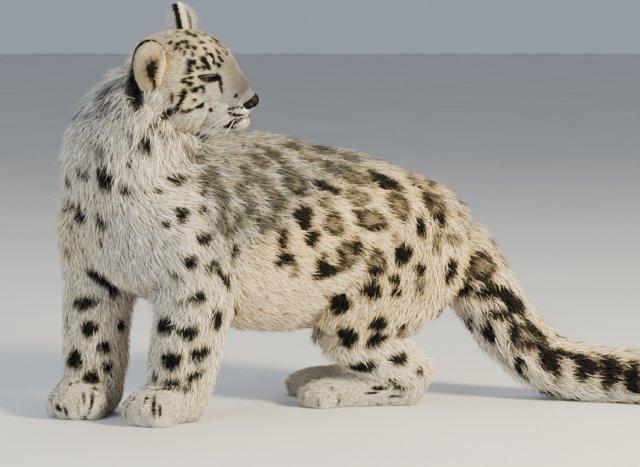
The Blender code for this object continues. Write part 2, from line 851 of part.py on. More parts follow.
def main():
    for old in list(bpy.data.objects):
        bpy.data.objects.remove(old)
    pieces = [*make_head(), *make_body()]
    make_coat(pieces)
    for piece in pieces:
        painted(piece)
    centred(pieces)
    return pieces


if __name__ == "__main__":
    main()
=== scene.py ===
"""Dresses the snow leopard cub: one skin, its coat of fine tufts, eyes, nose, lips and whiskers.

The form is rebuilt from the same named sizes as the solids, in millimetres, and drawn in by the
coat's depth. Tufts stand on that skin and reach out to the solids' outline.
"""

import math

import bmesh
import bpy
import numpy as np
from mathutils import Matrix, Vector
from mathutils.bvhtree import BVHTree


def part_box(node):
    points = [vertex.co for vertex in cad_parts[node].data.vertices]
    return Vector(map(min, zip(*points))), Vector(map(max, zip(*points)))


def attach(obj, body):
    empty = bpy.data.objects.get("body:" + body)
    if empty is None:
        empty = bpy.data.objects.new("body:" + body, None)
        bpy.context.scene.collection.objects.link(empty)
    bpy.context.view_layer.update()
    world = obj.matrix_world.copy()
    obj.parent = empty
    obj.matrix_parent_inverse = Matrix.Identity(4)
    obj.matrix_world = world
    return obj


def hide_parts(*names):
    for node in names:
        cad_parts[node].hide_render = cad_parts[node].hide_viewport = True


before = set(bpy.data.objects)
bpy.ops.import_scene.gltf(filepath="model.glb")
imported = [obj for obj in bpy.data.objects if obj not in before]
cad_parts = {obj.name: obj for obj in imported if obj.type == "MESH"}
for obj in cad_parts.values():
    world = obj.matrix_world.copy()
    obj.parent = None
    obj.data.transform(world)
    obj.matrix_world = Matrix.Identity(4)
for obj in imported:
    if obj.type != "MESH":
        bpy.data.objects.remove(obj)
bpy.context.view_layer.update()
MM = 0.001
UP = Vector((0, 0, 1))

# The form, as in the solids: stations of x, y, z, half width and half height or depth
TRUNK = (
    (226, 158, 234, 30, 38),
    (204, 158, 238, 62, 72),
    (166, 156, 243, 84, 94),
    (105, 149, 250, 97, 110),
    (30, 131, 261, 106, 128),
    (-50, 103, 262, 114, 145),
    (-130, 64, 276, 119, 147),
    (-206, 20, 294, 122, 133),
    (-258, -30, 302, 115, 116),
    (-291, -69, 304, 88, 94),
    (-309, -95, 300, 42, 50),
)
NECK = (
    (-272, -8, 330, 112, 103),
    (-276, -18, 385, 109, 103),
    (-270, -30, 428, 95, 95),
    (-256, -40, 464, 78, 82),
    (-240, -48, 494, 60, 62),
    (-222, -56, 514, 44, 46),
)
TAIL = (
    (190, 156, 256, 49, 49),
    (222, 158, 222, 51, 51),
    (256, 160, 164, 49, 51),
    (297, 160, 106, 47, 48),
    (347, 156, 62, 46, 46),
    (408, 146, 43, 43, 44),
    (470, 130, 38, 41, 41),
    (530, 104, 37, 40, 39),
    (588, 62, 36, 38, 37),
    (628, 4, 34, 35, 34),
    (640, -56, 30, 30, 30),
    (636, -96, 25, 20, 22),
    (630, -118, 20, 8, 10),
)
LEFT_FORELEG = (
    (-180, -22, 345, 36, 58),
    (-188, -58, 285, 50, 72),
    (-182, -44, 212, 53, 62),
    (-194, -46, 140, 52, 55),
    (-205, -55, 78, 47, 50),
    (-212, -62, 34, 42, 44),
)
RIGHT_FORELEG = (
    (-304, 62, 345, 38, 60),
    (-328, 32, 285, 54, 74),
    (-332, 44, 212, 51, 60),
    (-338, 34, 140, 48, 50),
    (-340, 22, 78, 45, 47),
    (-344, 14, 34, 40, 42),
)
LEFT_THIGH = (
    (160, 122, 292, 40, 62),
    (142, 104, 240, 50, 88),
    (98, 86, 182, 50, 84),
    (44, 68, 134, 42, 54),
    (24, 60, 112, 30, 36),
)
RIGHT_THIGH = (
    (150, 188, 292, 40, 62),
    (130, 206, 240, 50, 88),
    (84, 222, 182, 50, 84),
    (28, 234, 134, 42, 54),
    (6, 238, 112, 30, 36),
)
LEFT_SHANK = (
    (30, 64, 122, 38, 44),
    (84, 82, 86, 35, 44),
    (132, 97, 52, 31, 36),
    (146, 101, 34, 28, 32),
)
RIGHT_SHANK = (
    (12, 234, 122, 38, 44),
    (66, 226, 86, 35, 44),
    (112, 216, 52, 31, 36),
    (126, 212, 34, 28, 32),
)
FOREFOOT = (
    (-38, 32, 26, 28),
    (-16, 36, 40, 38),
    (16, 34, 44, 35),
    (50, 28, 45, 29),
    (72, 23, 37, 23),
    (86, 18, 20, 14),
)
HINDFOOT = (
    (-22, 34, 18, 22),
    (-4, 38, 28, 38),
    (40, 30, 28, 30),
    (96, 25, 30, 25),
    (136, 22, 35, 23),
    (160, 17, 30, 17),
    (172, 13, 16, 10),
)
TOE_SPREAD = (-0.74, -0.26, 0.26, 0.74)
TOE_SET_BACK = (11, 0, 0, 11)
FORE_TOES = (62, (24, 12.5, 20))
HIND_TOES = (150, (22, 10.5, 15))
# How deep the soles press into the floor before they are cut flat
SOLE_SINK = 3.5
# Each foot: where its ankle stands on the floor, its heading in degrees from -X towards -Y,
# its stations, and how far forward its toes lie, with a toe's radii
FEET = {
    "left_fore": ((-210, -60), 38, FOREFOOT, FORE_TOES),
    "right_fore": ((-343, 18), 64, FOREFOOT, FORE_TOES),
    "left_hind": ((142, 101), 6, HINDFOOT, HIND_TOES),
    "right_hind": ((122, 213), 2, HINDFOOT, HIND_TOES),
}
# The head: the middle of its skull, and its turns in degrees
HEAD_PLACE = (-201, -60, 528)
HEAD_YAW, HEAD_PITCH, HEAD_ROLL = -17.0, 8.0, 28.0
# The skull and muzzle along the head's own forward axis: forward, height, half width, half height
SKULL = (
    (-72, -15, 20, 20),
    (-60, -12, 39, 34),
    (-36, -4, 53, 44),
    (-6, 0, 59, 49),
    (20, 0, 56, 49),
    (42, -8, 46, 44),
    (60, -22, 34, 38),
    (78, -34, 27, 32),
    (92, -42, 21, 25),
    (103, -47, 14, 16),
    (109, -48, 7, 8),
)
# Rounded masses of the head, one side: place (forward, left, height) and radii
HEAD_MASSES = (
    ((8, 40, -36), (44, 26, 42)),
    ((-30, 42, -30), (38, 28, 42)),
    ((42, 25, 18), (22, 15, 10)),
    ((84, 14, -50), (24, 14, 18)),
    ((54, 22, -52), (30, 20, 26)),
    ((38, 34, -16), (26, 14, 18)),
)
# The muzzle's bridge and the lower jaw: forward, left, height, half width, half height
BRIDGE = (
    (26, 0, 26, 24, 18),
    (54, 0, 6, 17, 15),
    (78, 0, -12, 15, 13),
    (104, 0, -31, 11, 8),
)
JAW = (
    (100, 0, -76, 6, 5),
    (92, 0, -78, 14, 11),
    (72, 0, -80, 22, 14),
    (44, 0, -74, 34, 22),
    (4, 0, -62, 44, 32),
    (-34, 0, -48, 44, 32),
)
# The nose pad's middle and side lobes, and a nostril
NOSE_MASSES = (
    ((103, 0, -39), (13.5, 13, 13)),
    ((98, 9, -42), (14, 9, 9)),
    ((98, -9, -42), (14, 9, 9)),
)
NOSTRIL_PLACE = (112, 8, -43)
NOSTRIL_RADII = (6, 2.4, 3.4)
# The mouth: the middle that its line turns round, and the line's turns in degrees and heights
MOUTH_CENTRE = (58, 0)
MOUTH_LINE = ((0, -58), (25, -58), (58, -66), (74, -74), (100, -78))
# The eyes, and the almond between their lids: half width and height, slant in degrees,
# how pointed its corners are, and the steps and length of its cutter, the length in radii
EYE_PLACE = (47, 29.5, 9)
EYE_RADIUS = 12.5
LID_THICKNESS = 2.4
EYE_FACING = (0.74, 0.66, 0.08)
EYE_OPENING = (11.6, 4.8)
EYE_SLANT = 12.0
ALMOND_POINT = 0.35
ALMOND_STEPS = 20
ALMOND_REACH = 2.5
# The ears: place, radii (across, up, deep), the way they point up and the way their cups face
EARS = {
    "left": ((-27, 57, 33), (25, 32, 17), (-0.2, 0.1, 0.97), (0.84, 0.52, 0.1)),
    "right": ((-29, -58, 27), (25, 46, 19), (-0.06, 0.04, 1), (0.62, -0.77, -0.05)),
}
# How much broader an ear grows towards its tip, its wall, its coat's depth, how the cup is
# moved out of the ear's middle, and how long the hair grows from its front edge
EAR_SPREAD = 0.18
EAR_WALL = 3.0
EAR_DEPTH = 1.2
EAR_CUP = (0, 3, 9)
EAR_HAIR = {"left": 38.0, "right": 26.0}
# How much paler each ear's inside is
EAR_PALER = {"left": 0.4, "right": 0.0}

# How fine the skin is made, how often it is smoothed, and how many triangles it keeps
SKIN_VOXEL, SKIN_ROUNDS = 2.6, 14
SKIN_TRIANGLES = 180000
# The face's middle in the head's frame and its reach, and the paws' height: the skin stays fine there
FACE_MIDDLE, FACE_REACH, PAW_HEIGHT = (40, 0, -20), 95, 45
# The solids' outline, which the tufts reach out to: how fine and how smooth, how far out it is
# looked for, and the height where it is not found
OUTLINE_VOXEL, OUTLINE_ROUNDS = 5.0, 6
OUTLINE_RANGE, OUTLINE_MISSED = 34, 6
TUFTS, EAR_TUFTS = 236000, 5000
# The most tufts in one piece, and the seed of the random draws
TUFTS_A_PIECE = 33000
SEED = 7
# The lowest that skin and tufts reach over the floor
LOWEST = 0.6
# The block that cuts the skin flat there: how broad and how deep
FLOOR_BLOCK, UNDERFLOOR = (4000, 4000), 1000
# How far the head reaches from the middle of its skull
HEAD_RADIUS = 150
# The least share of its width that a tube keeps when it is drawn in, the most of a span that its
# end gives up, and the shares of the coat's depth that toes and the muzzle's bridge give up
THINNEST, END_SHARE, TOE_SHARE, BRIDGE_SHARE = 0.35, 0.9, 0.7, 0.6
# How many sides the body's tubes and the tubes of lips and lids have
BODY_SIDES, LIP_SIDES = 28, 8
# The room between an eyeball and the skin round it
EYE_ROOM = 0.2

# Each tube of the form: stations, which way its width points, which way the hair lies along it
# (1 with the stations, -1 against them), the coat's depth on it, and its coat
TUBES = {
    "trunk": (TRUNK, None, -1, 13, "body"),
    "neck": (NECK, (0.8, -0.6, 0), -1, 19, "ruff"),
    "tail": (TAIL, (0, 1, 0), 1, 15, "tail"),
    "foreleg_left": (LEFT_FORELEG, (0.8, -0.6, 0), 1, 7, "leg"),
    "foreleg_right": (RIGHT_FORELEG, (0.8, -0.6, 0), 1, 7, "leg"),
    "thigh_left": (LEFT_THIGH, (0.05, -1, 0), 1, 11, "thigh"),
    "thigh_right": (RIGHT_THIGH, (0.05, -1, 0), 1, 11, "thigh"),
    "shank_left": (LEFT_SHANK, (0.05, -1, 0), 1, 7, "leg"),
    "shank_right": (RIGHT_SHANK, (0.05, -1, 0), 1, 7, "leg"),
}
# The coat's depth at a foot's ankle and at its toes
FOOT_DEPTHS = (8.0, 2.5)
# The gaps between toes, as cuts: how far back they lie from the toes, and their radii
TOE_GAP_BACK = 2
TOE_GAP = (29, 1.7, 17)
# The coat's depth on the head
HEAD_DEPTH = 3.5
# The bare skin over the nose, and how far the nose pad lies below the solid's nose and inside it
NOSE_TOP = ((98.0, 0, -33.0), (14.2, 13.1, 8.6))
PAD_DROP, PAD_INSET = 1.0, 0.5
# Each coat: length, width, share of tufts on a square, scatter of the lie, droop,
# how warm and how pale it is
COATS = {
    "body": (25, 1.6, 0.95, 0.26, 0.35, 1.00, 0.20),
    "ruff": (33, 1.5, 1.05, 0.28, 0.45, 0.50, 0.64),
    "tail": (28, 1.8, 0.95, 0.26, 0.10, 0.75, 0.35),
    "leg": (22, 1.4, 1.5, 0.36, 0.15, 0.85, 0.50),
    "thigh": (21, 1.6, 1.1, 0.26, 0.30, 1.00, 0.22),
    "foot": (10, 1.0, 4.0, 0.34, 0.05, 0.80, 0.62),
    "crown": (11, 1.0, 4.2, 0.32, 0.00, 1.00, 0.25),
    "cheek": (17, 1.1, 3.2, 0.34, 0.20, 0.60, 0.50),
    "jowl": (27, 1.4, 2.0, 0.34, 0.35, 0.55, 0.55),
    "muzzle": (8, 0.8, 5.6, 0.28, 0.05, 0.40, 0.62),
    "bridge": (4, 0.7, 7.5, 0.14, 0.00, 0.30, 0.25),
    "chin": (8, 0.9, 4.5, 0.20, 0.05, 0.60, 0.70),
}
# Places on the head, in its own frame, the way the hair lies there, and which coat grows there;
# and how far each one's say reaches
HEAD_LIES = (
    ((108, 0, -24), (-1, 0, 0.5), "bridge"),
    ((86, 0, -8), (-0.9, 0, 0.5), "bridge"),
    ((62, 0, 16), (-0.85, 0, 0.6), "bridge"),
    ((46, 0, 38), (-0.8, 0, 0.6), "crown"),
    ((10, 0, 52), (-1, 0, 0.1), "crown"),
    ((-40, 0, 45), (-1, 0, -0.3), "crown"),
    ((22, 42, 30), (-0.9, 0.3, 0.15), "crown"),
    ((98, 14, -56), (-0.9, 0.4, -0.2), "muzzle"),
    ((78, 28, -52), (-0.9, 0.4, -0.25), "muzzle"),
    ((70, 26, -18), (-0.9, 0.4, -0.1), "muzzle"),
    ((56, 36, -40), (-0.9, 0.35, -0.3), "muzzle"),
    ((30, 50, -10), (-0.95, 0.25, -0.15), "crown"),
    ((20, 56, -48), (-0.8, 0.25, -0.5), "cheek"),
    ((-8, 64, -30), (-0.8, 0.25, -0.5), "cheek"),
    ((-34, 62, -50), (-0.55, 0.15, -0.8), "jowl"),
    ((2, 52, -76), (-0.7, 0.2, -0.7), "jowl"),
    ((34, 40, -82), (-0.85, 0.15, -0.5), "jowl"),
    ((88, 0, -88), (-1, 0, -0.15), "chin"),
    ((62, 18, -88), (-1, 0.1, -0.2), "chin"),
    ((30, 0, -92), (-0.95, 0, -0.3), "chin"),
    ((-62, 20, -20), (-0.5, 0, -0.85), "cheek"),
)
HEAD_REACH = 30
# How far a tuft's markings stray along it, as a share of its length
STRAY = 0.07
# The coat's colours, the markings' and the bare nose's; the markings' ink also paints shade in the toe gaps,
# under the lower lip and in the ears' cups
GREY, DARK_GREY = (0.235, 0.248, 0.255), (0.072, 0.078, 0.080)
CREAM = (0.830, 0.610, 0.260)
WHITE = (0.900, 0.860, 0.770)
INK_AND_PAINTED_SHADE = (0.005, 0.005, 0.005)
BARE = (0.085, 0.077, 0.083)
# The height of the grey back's edge along the body, and the middle and reach of the white chest
GREY_EDGE = (
    (-240, 430), (-190, 330), (-160, 235), (-120, 250), (-60, 292),
    (0, 325), (30, 337), (120, 350), (170, 325), (230, 250),
)
WHITE_CHEST = ((-255, 0, 275), (85, 400, 120))

# Markings seen from the camera, part by part: where in the photo's pixels, how wide and how high,
# turn in degrees, and kind (s solid, r open rosette, f faint, g faint rosette, t fine)
# Some fine marks are painted shade: those on the feet lie in the gaps between the toes, and the face's last
# four lie under the lower lip.
PHOTO_SIZE = (640, 467)
MARKINGS = {
    "chest and ruff": """
        68 204 12 18 0 s; 81 216 15 15 0 s; 102 221 10 14 0 s; 104 180 16 25 0 s; 125 190 14 11 0 s
        84 175 13 10 0 s; 68 181 8 8 0 s; 131 164 6 10 0 s; 145 145 14 19 0 s; 130 135 8 10 0 f
        166 132 12 5 0 s; 176 135 10 6 0 s; 154 126 10 9 0 s; 158 191 9 8 0 s; 178 180 22 12 -22 s
        192 154 18 16 0 f; 182 215 16 16 0 s; 202 210 12 10 0 s; 166 225 9 9 0 s; 204 194 8 6 0 s
        204 238 16 14 0 s; 103 107 12 12 0 f; 105 92 12 8 0 f; 88 116 10 11 0 f; 100 153 14 14 0 f
        74 163 6 6 0 f; 92 140 8 8 0 f; 72 228 5 9 0 f; 99 243 5 12 0 f; 120 118 8 8 0 f
    """,
    "shoulder": """
        191 262 14 16 0 s; 213 263 18 7 -8 s; 214 270 16 9 0 f; 227 282 20 19 0 s; 221 276 16 6 35 s
        234 252 8 18 0 s; 198 298 17 14 0 s; 181 303 16 7 0 f; 176 277 14 7 0 f; 234 301 8 15 0 f
    """,
    "grey of the shoulder": """
        209 152 12 24 0 f; 214 178 13 26 0 f; 222 202 15 30 0 f; 222 224 14 20 0 f; 203 182 12 18 0 f
        237 222 9 22 0 f
    """,
    "back and flank": """
        276 201 17 24 0 f; 294 181 24 27 0 g; 301 193 12 8 0 s; 274 155 18 12 0 f; 250 146 22 12 0 f
        331 167 20 13 0 g; 246 175 12 22 0 f; 258 160 16 12 0 f; 250 205 12 24 0 f; 262 182 12 16 0 f
        262 225 12 18 0 f; 240 190 10 16 0 f; 320 184 16 9 0 s; 334 191 14 9 0 s; 304 217 21 24 0 s
        312 238 17 17 0 s; 274 222 14 16 0 f; 283 240 13 24 0 s; 281 260 13 17 0 s; 291 258 11 12 0 s
        294 271 10 16 0 f; 228 232 14 12 0 f; 324 256 9 10 0 s; 327 272 28 14 0 s; 320 266 12 20 0 s
        333 168 20 10 0 f; 352 176 28 17 0 g; 385 181 28 14 0 s; 386 165 26 9 18 s; 415 185 16 11 20 s
        430 183 12 8 30 s; 357 197 27 16 0 g; 319 184 12 8 0 s; 325 203 12 16 0 f; 334 224 22 24 0 r
        372 220 30 22 0 r; 357 213 10 8 0 s; 376 228 20 8 -8 s; 399 206 22 27 0 r; 435 206 20 30 0 r
        428 197 8 14 0 s; 441 218 9 16 0 s; 421 227 10 26 0 s; 395 236 8 10 0 f; 452 238 18 12 0 f
        437 243 9 24 0 f; 349 254 26 29 0 r; 355 246 9 22 0 s; 341 258 10 14 0 s; 376 263 20 28 0 r
        377 272 18 10 0 s; 403 254 18 24 20 s; 420 269 13 14 0 s; 371 290 24 18 0 s; 395 280 12 13 0 s
        397 292 10 13 0 s; 452 270 11 24 0 s; 461 291 20 13 0 s; 420 287 12 18 0 f; 344 297 8 8 0 s
        262 139 22 7 0 f; 292 146 20 7 8 f; 320 150 24 7 8 f; 350 157 22 8 12 f; 412 176 18 8 30 f
        441 195 18 9 45 f; 459 215 16 9 55 f; 468 234 12 11 0 f; 308 160 16 10 0 f
    """,
    "far foreleg": """
        85 303 26 13 -8 s; 101 280 36 10 42 s; 113 291 8 16 0 s; 68 252 14 10 0 f; 89 329 18 17 0 s
        121 326 18 11 25 s; 104 347 15 13 0 s; 75 360 14 20 0 s; 107 367 12 11 0 s; 91 378 17 14 0 s
        78 382 6 8 0 s; 68 324 7 16 0 s
    """,
    "near foreleg": """
        165 326 15 18 0 s; 188 333 22 15 0 s; 217 320 21 22 0 s; 171 361 21 20 0 s; 200 354 22 14 -20 s
        196 375 22 9 -18 s; 155 377 11 15 0 s; 172 382 20 7 0 s; 187 389 12 8 20 s; 168 389 26 3 0 t
    """,
    # The forefeet's fine marks are painted shade in the gaps between the toes.
    "forefeet": """
        59 408 5 8 0 t; 66 411 4 9 0 t; 92 401 4 22 15 t; 84 398 3 12 0 t; 109 402 3 13 0 t; 101 409 3 12 0 t
        95 389 8 3 0 t; 154 406 5 22 0 t; 160 411 4 14 0 t; 127 411 5 16 0 t; 134 400 3 8 0 t
        146 400 3 8 0 t
    """,
    # This leg's last six fine marks, on its foot, are painted shade in the gaps between the toes.
    "near hind leg": """
        340 305 22 20 0 s; 348 337 20 22 -20 s; 379 324 20 15 -25 s; 376 340 25 12 -15 s; 403 327 10 8 0 s
        402 334 9 8 0 s; 327 333 8 16 0 f; 362 367 34 11 -15 s; 399 359 18 15 0 s; 419 372 8 10 0 s
        392 381 9 6 -20 s; 380 388 17 5 0 s; 401 388 17 5 10 s; 372 393 14 3 0 t; 396 396 14 3 0 t
        391 403 6 3 0 t; 378 404 12 3 30 t; 319 403 3 10 0 t; 339 401 3 10 0 t
    """,
    "tail": """
        482 266 27 28 0 r; 482 255 20 8 0 s; 484 278 20 8 0 s; 461 291 19 15 0 s; 450 273 9 26 0 s
        494 292 38 17 0 s; 516 305 20 20 0 s; 500 314 36 13 0 s; 469 320 12 9 0 s; 470 329 12 8 0 s
        488 333 14 22 0 s; 527 338 42 26 20 r; 515 331 12 20 0 s; 534 345 26 9 20 s; 534 329 26 9 20 s
        502 358 6 14 0 s; 520 369 10 20 0 s; 551 358 30 20 -30 s; 556 373 10 26 10 s; 584 367 24 28 0 s
        609 371 24 34 0 s; 633 378 22 34 0 s; 573 356 18 8 0 s; 600 354 24 8 0 s
    """,
    # The face's last four marks, round the chin, are the black lower lip with painted shade under it.
    "face": """
        168 38 6 4 0 t; 178 37 8 3 10 t; 185 42 5 6 -40 t; 188 47 5 5 0 t; 195 48 6 5 0 t; 193 54 4 7 0 t
        179 44 6 4 30 t; 176 48 4 6 0 t; 181 50 4 5 0 t; 185 53 4 6 0 t; 170 43 5 4 0 t; 202 43 5 4 30 t
        200 40 7 3 15 t; 205 49 5 4 40 t; 208 54 5 5 40 t; 212 56 4 7 -30 t; 215 48 5 3 30 t
        218 52 3 7 -30 t; 220 58 3 7 -30 t; 214 62 4 5 0 t; 219 65 4 6 -30 t; 195 62 5 6 0 t; 190 65 7 13 0 t
        189 71 8 8 0 t; 198 68 6 4 0 t; 204 60 7 10 -30 t; 208 66 5 9 -25 t; 184 81 7 6 0 t; 191 78 8 4 0 t
        190 84 8 6 0 t; 202 87 6 4 0 t; 195 90 9 6 -30 t; 172 98 5 12 15 t; 184 94 8 11 25 t
        181 101 6 9 25 t; 195 100 5 4 0 t; 178 107 6 9 25 t; 169 113 8 11 35 t; 165 117 9 7 0 t
        184 111 7 5 0 t; 190 110 6 5 0 t; 200 106 11 5 -15 t; 211 110 5 4 0 t; 236 96 4 4 0 t
        229 109 4 3 0 t; 234 108 4 3 0 t; 238 107 3 3 0 t; 242 108 4 3 0 t; 230 113 5 3 0 t
        237 115 14 3 -5 t; 177 29 8 4 0 t; 210 37 5 3 20 t; 196 36 6 3 15 t; 187 36 6 3 0 t; 222 60 3 6 -30 t
        221 85 4 18 -16 t; 218 77 5 6 -30 t; 238 121 20 10 -14 t; 248 116 10 10 -40 t; 226 126 18 7 8 t
        214 127 11 5 15 t
    """,
    "behind the ear": """
        135 84 19 44 -8 s
    """,
}
# How far each kind's ring is open, and how strong it is
KINDS = {"s": (0.0, 1.0), "r": (0.5, 1.0), "f": (0.0, 0.78), "g": (0.45, 0.88), "t": (0.0, 1.0)}
# Markings of the sides that the camera does not see: coat, how many, spacing, size across, kind
UNSEEN = (
    ("body", 90, 40, 30, "r"),
    ("thigh", 26, 32, 24, "s"),
    ("ruff", 34, 34, 20, "s"),
    ("leg", 44, 24, 19, "s"),
    ("foot", 30, 14, 7, "s"),
    ("tail", 46, 34, 32, "s"),
    ("crown", 26, 15, 7, "s"),
    ("cheek", 16, 20, 10, "s"),
)

# The camera: millimetres to a pixel at the cub, tilt down and distance; the picture's middle, and
# the height that the camera looks at, over the row of pixels where the floor lies
PIXEL, CAMERA_TILT, CAMERA_DISTANCE = 1.5, math.radians(5.5), 4500.0
PHOTO_AIM = (320.0, 233.5)
FLOOR_ROW = 415.7
AIM_HEIGHT = (FLOOR_ROW - PHOTO_AIM[1]) * PIXEL / math.cos(CAMERA_TILT)


def unit(values):
    return Vector(values).normalized()


def rows_of(values):
    """Each row made one long."""
    return values / np.maximum(np.linalg.norm(values, axis=1, keepdims=True), 1e-9)


def smoothed(stations, per_span):
    """Rows of numbers, drawn as a smooth curve through them with per_span steps between two."""
    rows = np.asarray(stations, float)
    rows = np.vstack([2 * rows[0] - rows[1], rows, 2 * rows[-1] - rows[-2]])
    steps = np.arange(per_span)[:, None] / per_span
    curve = []
    for a, b, c, d in zip(rows, rows[1:], rows[2:], rows[3:]):
        curve.append(0.5 * (2 * b + (c - a) * steps + (2 * a - 5 * b + 4 * c - d) * steps**2
                            + (3 * b - a - 3 * c + d) * steps**3))
    return np.vstack([*curve, rows[-2]])


def frames_along(rows, side):
    """The ways along, across and deep at each row of a tube."""
    tangents = np.gradient(rows[:, :3], axis=0)
    frames = []
    for tangent in tangents:
        along = Vector(tangent).normalized()
        across = Vector(side) if side else UP.cross(along)
        across = (across - across.dot(along) * along).normalized()
        frames.append((along, across, along.cross(across)))
    return frames


def add_tube(bm, stations, side=None, matrix=None, sides=20, per_span=5):
    """A closed tube through stations of x, y, z, half width and half depth, its width along side."""
    rows = smoothed(stations, per_span)
    matrix = matrix or Matrix.Identity(4)
    rings = []
    for row, (_, across, deep) in zip(rows, frames_along(rows, side)):
        half_width, half_depth = np.maximum(row[3:5], 1)
        ring = []
        for k in range(sides):
            angle = 2 * math.pi * k / sides
            offset = across * half_width * math.cos(angle) + deep * half_depth * math.sin(angle)
            ring.append(bm.verts.new(matrix @ (Vector(row[:3]) + offset)))
        rings.append(ring)
    for near, far in zip(rings, rings[1:]):
        for k in range(sides):
            bm.faces.new((near[k], near[k - 1], far[k - 1], far[k]))
    bm.faces.new(rings[0])
    bm.faces.new(reversed(rings[-1]))


def add_mass(bm, place, radii, matrix=None, detail=3):
    """A rounded mass: an ellipsoid at place, within the frame that matrix gives."""
    shape = Matrix.Translation(place) @ Matrix.Diagonal((*radii, 1))
    whole = (matrix or Matrix.Identity(4)) @ shape
    bmesh.ops.create_icosphere(bm, subdivisions=detail, radius=1, matrix=whole)


def drawn_in(stations, depth):
    """A tube's stations with its surface drawn in by the coat's depth, its ends too."""
    rows = np.asarray(stations, float)
    thin = rows.copy()
    depths = np.linspace(*depth, len(rows)) if isinstance(depth, tuple) else np.full(len(rows), depth)
    thin[:, -2:] = np.maximum(rows[:, -2:] - depths[:, None], rows[:, -2:] * THINNEST)
    for end, inner in ((0, 1), (-1, -2)):
        step = rows[inner, :-2] - rows[end, :-2]
        thin[end, :-2] += step * min(END_SHARE, depths[end] / np.linalg.norm(step))
    return [tuple(row) for row in thin]


def placed(forward_rows):
    """Stations of forward, height, half width, half height as x, y, z, half width, half height."""
    return [(forward, 0, height, width, high) for forward, height, width, high in forward_rows]


def head_matrix():
    """Places the head's own frame: forward, left and up."""
    turns = ((HEAD_YAW, "Z"), (HEAD_PITCH, "Y"), (HEAD_ROLL, "X"))
    matrix = Matrix.Translation(HEAD_PLACE)
    for angle, axis in turns:
        matrix = matrix @ Matrix.Rotation(math.radians(angle), 4, axis)
    return matrix


HEAD = head_matrix()


def foot_matrix(name):
    """Places a foot's own frame: forward, left and up from its ankle."""
    ankle, heading = FEET[name][:2]
    turn = Matrix.Rotation(math.radians(180 + heading), 4, "Z")
    return Matrix.Translation((*ankle, -SOLE_SINK)) @ turn


def mirrored(values, side):
    """A place or way of the left side (1), or its mirror on the right side (-1)."""
    return (values[0], side * values[1], values[2])


def add_form(bm, coat):
    """The whole form without ears, drawn in by coat times each part's depth."""
    for stations, side, _, depth, _ in TUBES.values():
        add_tube(bm, drawn_in(stations, depth * coat), side, sides=BODY_SIDES)
    for name, (_, _, stations, (reach, radii)) in FEET.items():
        matrix = foot_matrix(name)
        ankle, depth = (value * coat for value in FOOT_DEPTHS)
        add_tube(bm, drawn_in(placed(stations), (ankle, depth)), (0, 1, 0), matrix)
        broad = max(row[2] for row in stations)
        for spread, set_back in zip(TOE_SPREAD, TOE_SET_BACK):
            toe = [radius - depth * TOE_SHARE for radius in radii]
            add_mass(bm, (reach - set_back, spread * broad, radii[2] - 1), toe, matrix)
    depth = HEAD_DEPTH * coat
    add_tube(bm, drawn_in(placed(SKULL), depth), (0, 1, 0), HEAD, sides=BODY_SIDES)
    add_tube(bm, drawn_in(BRIDGE, depth * BRIDGE_SHARE), (0, 1, 0), HEAD)
    add_tube(bm, drawn_in(JAW, depth), (0, 1, 0), HEAD)
    add_mass(bm, *NOSE_TOP, HEAD)
    for side in (-1, 1):
        add_mass(bm, mirrored(EYE_PLACE, side), [EYE_RADIUS + LID_THICKNESS - coat] * 3, HEAD)
        for place, radii in HEAD_MASSES:
            add_mass(bm, mirrored(place, side), [radius - depth for radius in radii], HEAD)


def object_of(name, bm):
    """An object of what bm holds, which is freed."""
    bmesh.ops.recalc_face_normals(bm, faces=bm.faces)
    mesh = bpy.data.meshes.new(name)
    bm.to_mesh(mesh)
    bm.free()
    made = bpy.data.objects.new(name, mesh)
    bpy.context.scene.collection.objects.link(made)
    return made


def settle(made):
    """Applies an object's modifiers."""
    graph = bpy.context.evaluated_depsgraph_get()
    mesh = bpy.data.meshes.new_from_object(made.evaluated_get(graph))
    made.modifiers.clear()
    made.data = mesh
    return made


def fused(made, voxel, rounds):
    """One closed surface of an object's overlapping forms, smoothed in rounds."""
    remesh = made.modifiers.new("Fuse", "REMESH")
    remesh.mode = "VOXEL"
    remesh.voxel_size = voxel
    smooth = made.modifiers.new("Blend", "SMOOTH")
    smooth.factor = 0.5
    smooth.iterations = rounds
    return settle(made)


def thinned(skin):
    """Leaves the face and the paws as fine as they are, and makes the rest of the skin coarser."""
    points = vertices_of(skin.data)
    fine = np.linalg.norm(points - np.array(HEAD @ Vector(FACE_MIDDLE)), axis=1) < FACE_REACH
    fine |= points[:, 2] < PAW_HEIGHT
    coarse = skin.vertex_groups.new(name="coarse")
    coarse.add([int(k) for k in np.flatnonzero(~fine)], 1.0, "REPLACE")
    thin = skin.modifiers.new("Thin", "DECIMATE")
    thin.ratio = SKIN_TRIANGLES / (2 * len(skin.data.polygons))
    thin.vertex_group = "coarse"
    return settle(skin)


def cut(target, bm):
    """Cuts an object by what bm holds."""
    cutter = object_of("cutter", bm)
    trim = target.modifiers.new("Cut", "BOOLEAN")
    trim.solver = "MANIFOLD"
    trim.object = cutter
    trim.operation = "DIFFERENCE"
    settle(target)
    bpy.data.objects.remove(cutter)


def tree_of(made):
    bm = bmesh.new()
    bm.from_mesh(made.data)
    tree = BVHTree.FromBMesh(bm)
    bm.free()
    return tree


def vertices_of(mesh):
    places = np.empty(3 * len(mesh.vertices))
    mesh.vertices.foreach_get("co", places)
    return places.reshape(-1, 3)


def normals_of(mesh):
    normals = np.empty(3 * len(mesh.vertices))
    mesh.vertices.foreach_get("normal", normals)
    return normals.reshape(-1, 3)


def loop_vertices(mesh):
    loops = np.empty(len(mesh.loops), int)
    mesh.loops.foreach_get("vertex_index", loops)
    return loops


def in_frame(points, matrix):
    """Places in a frame of their own."""
    return (points - np.array(matrix.translation)) @ np.array(matrix.to_3x3())


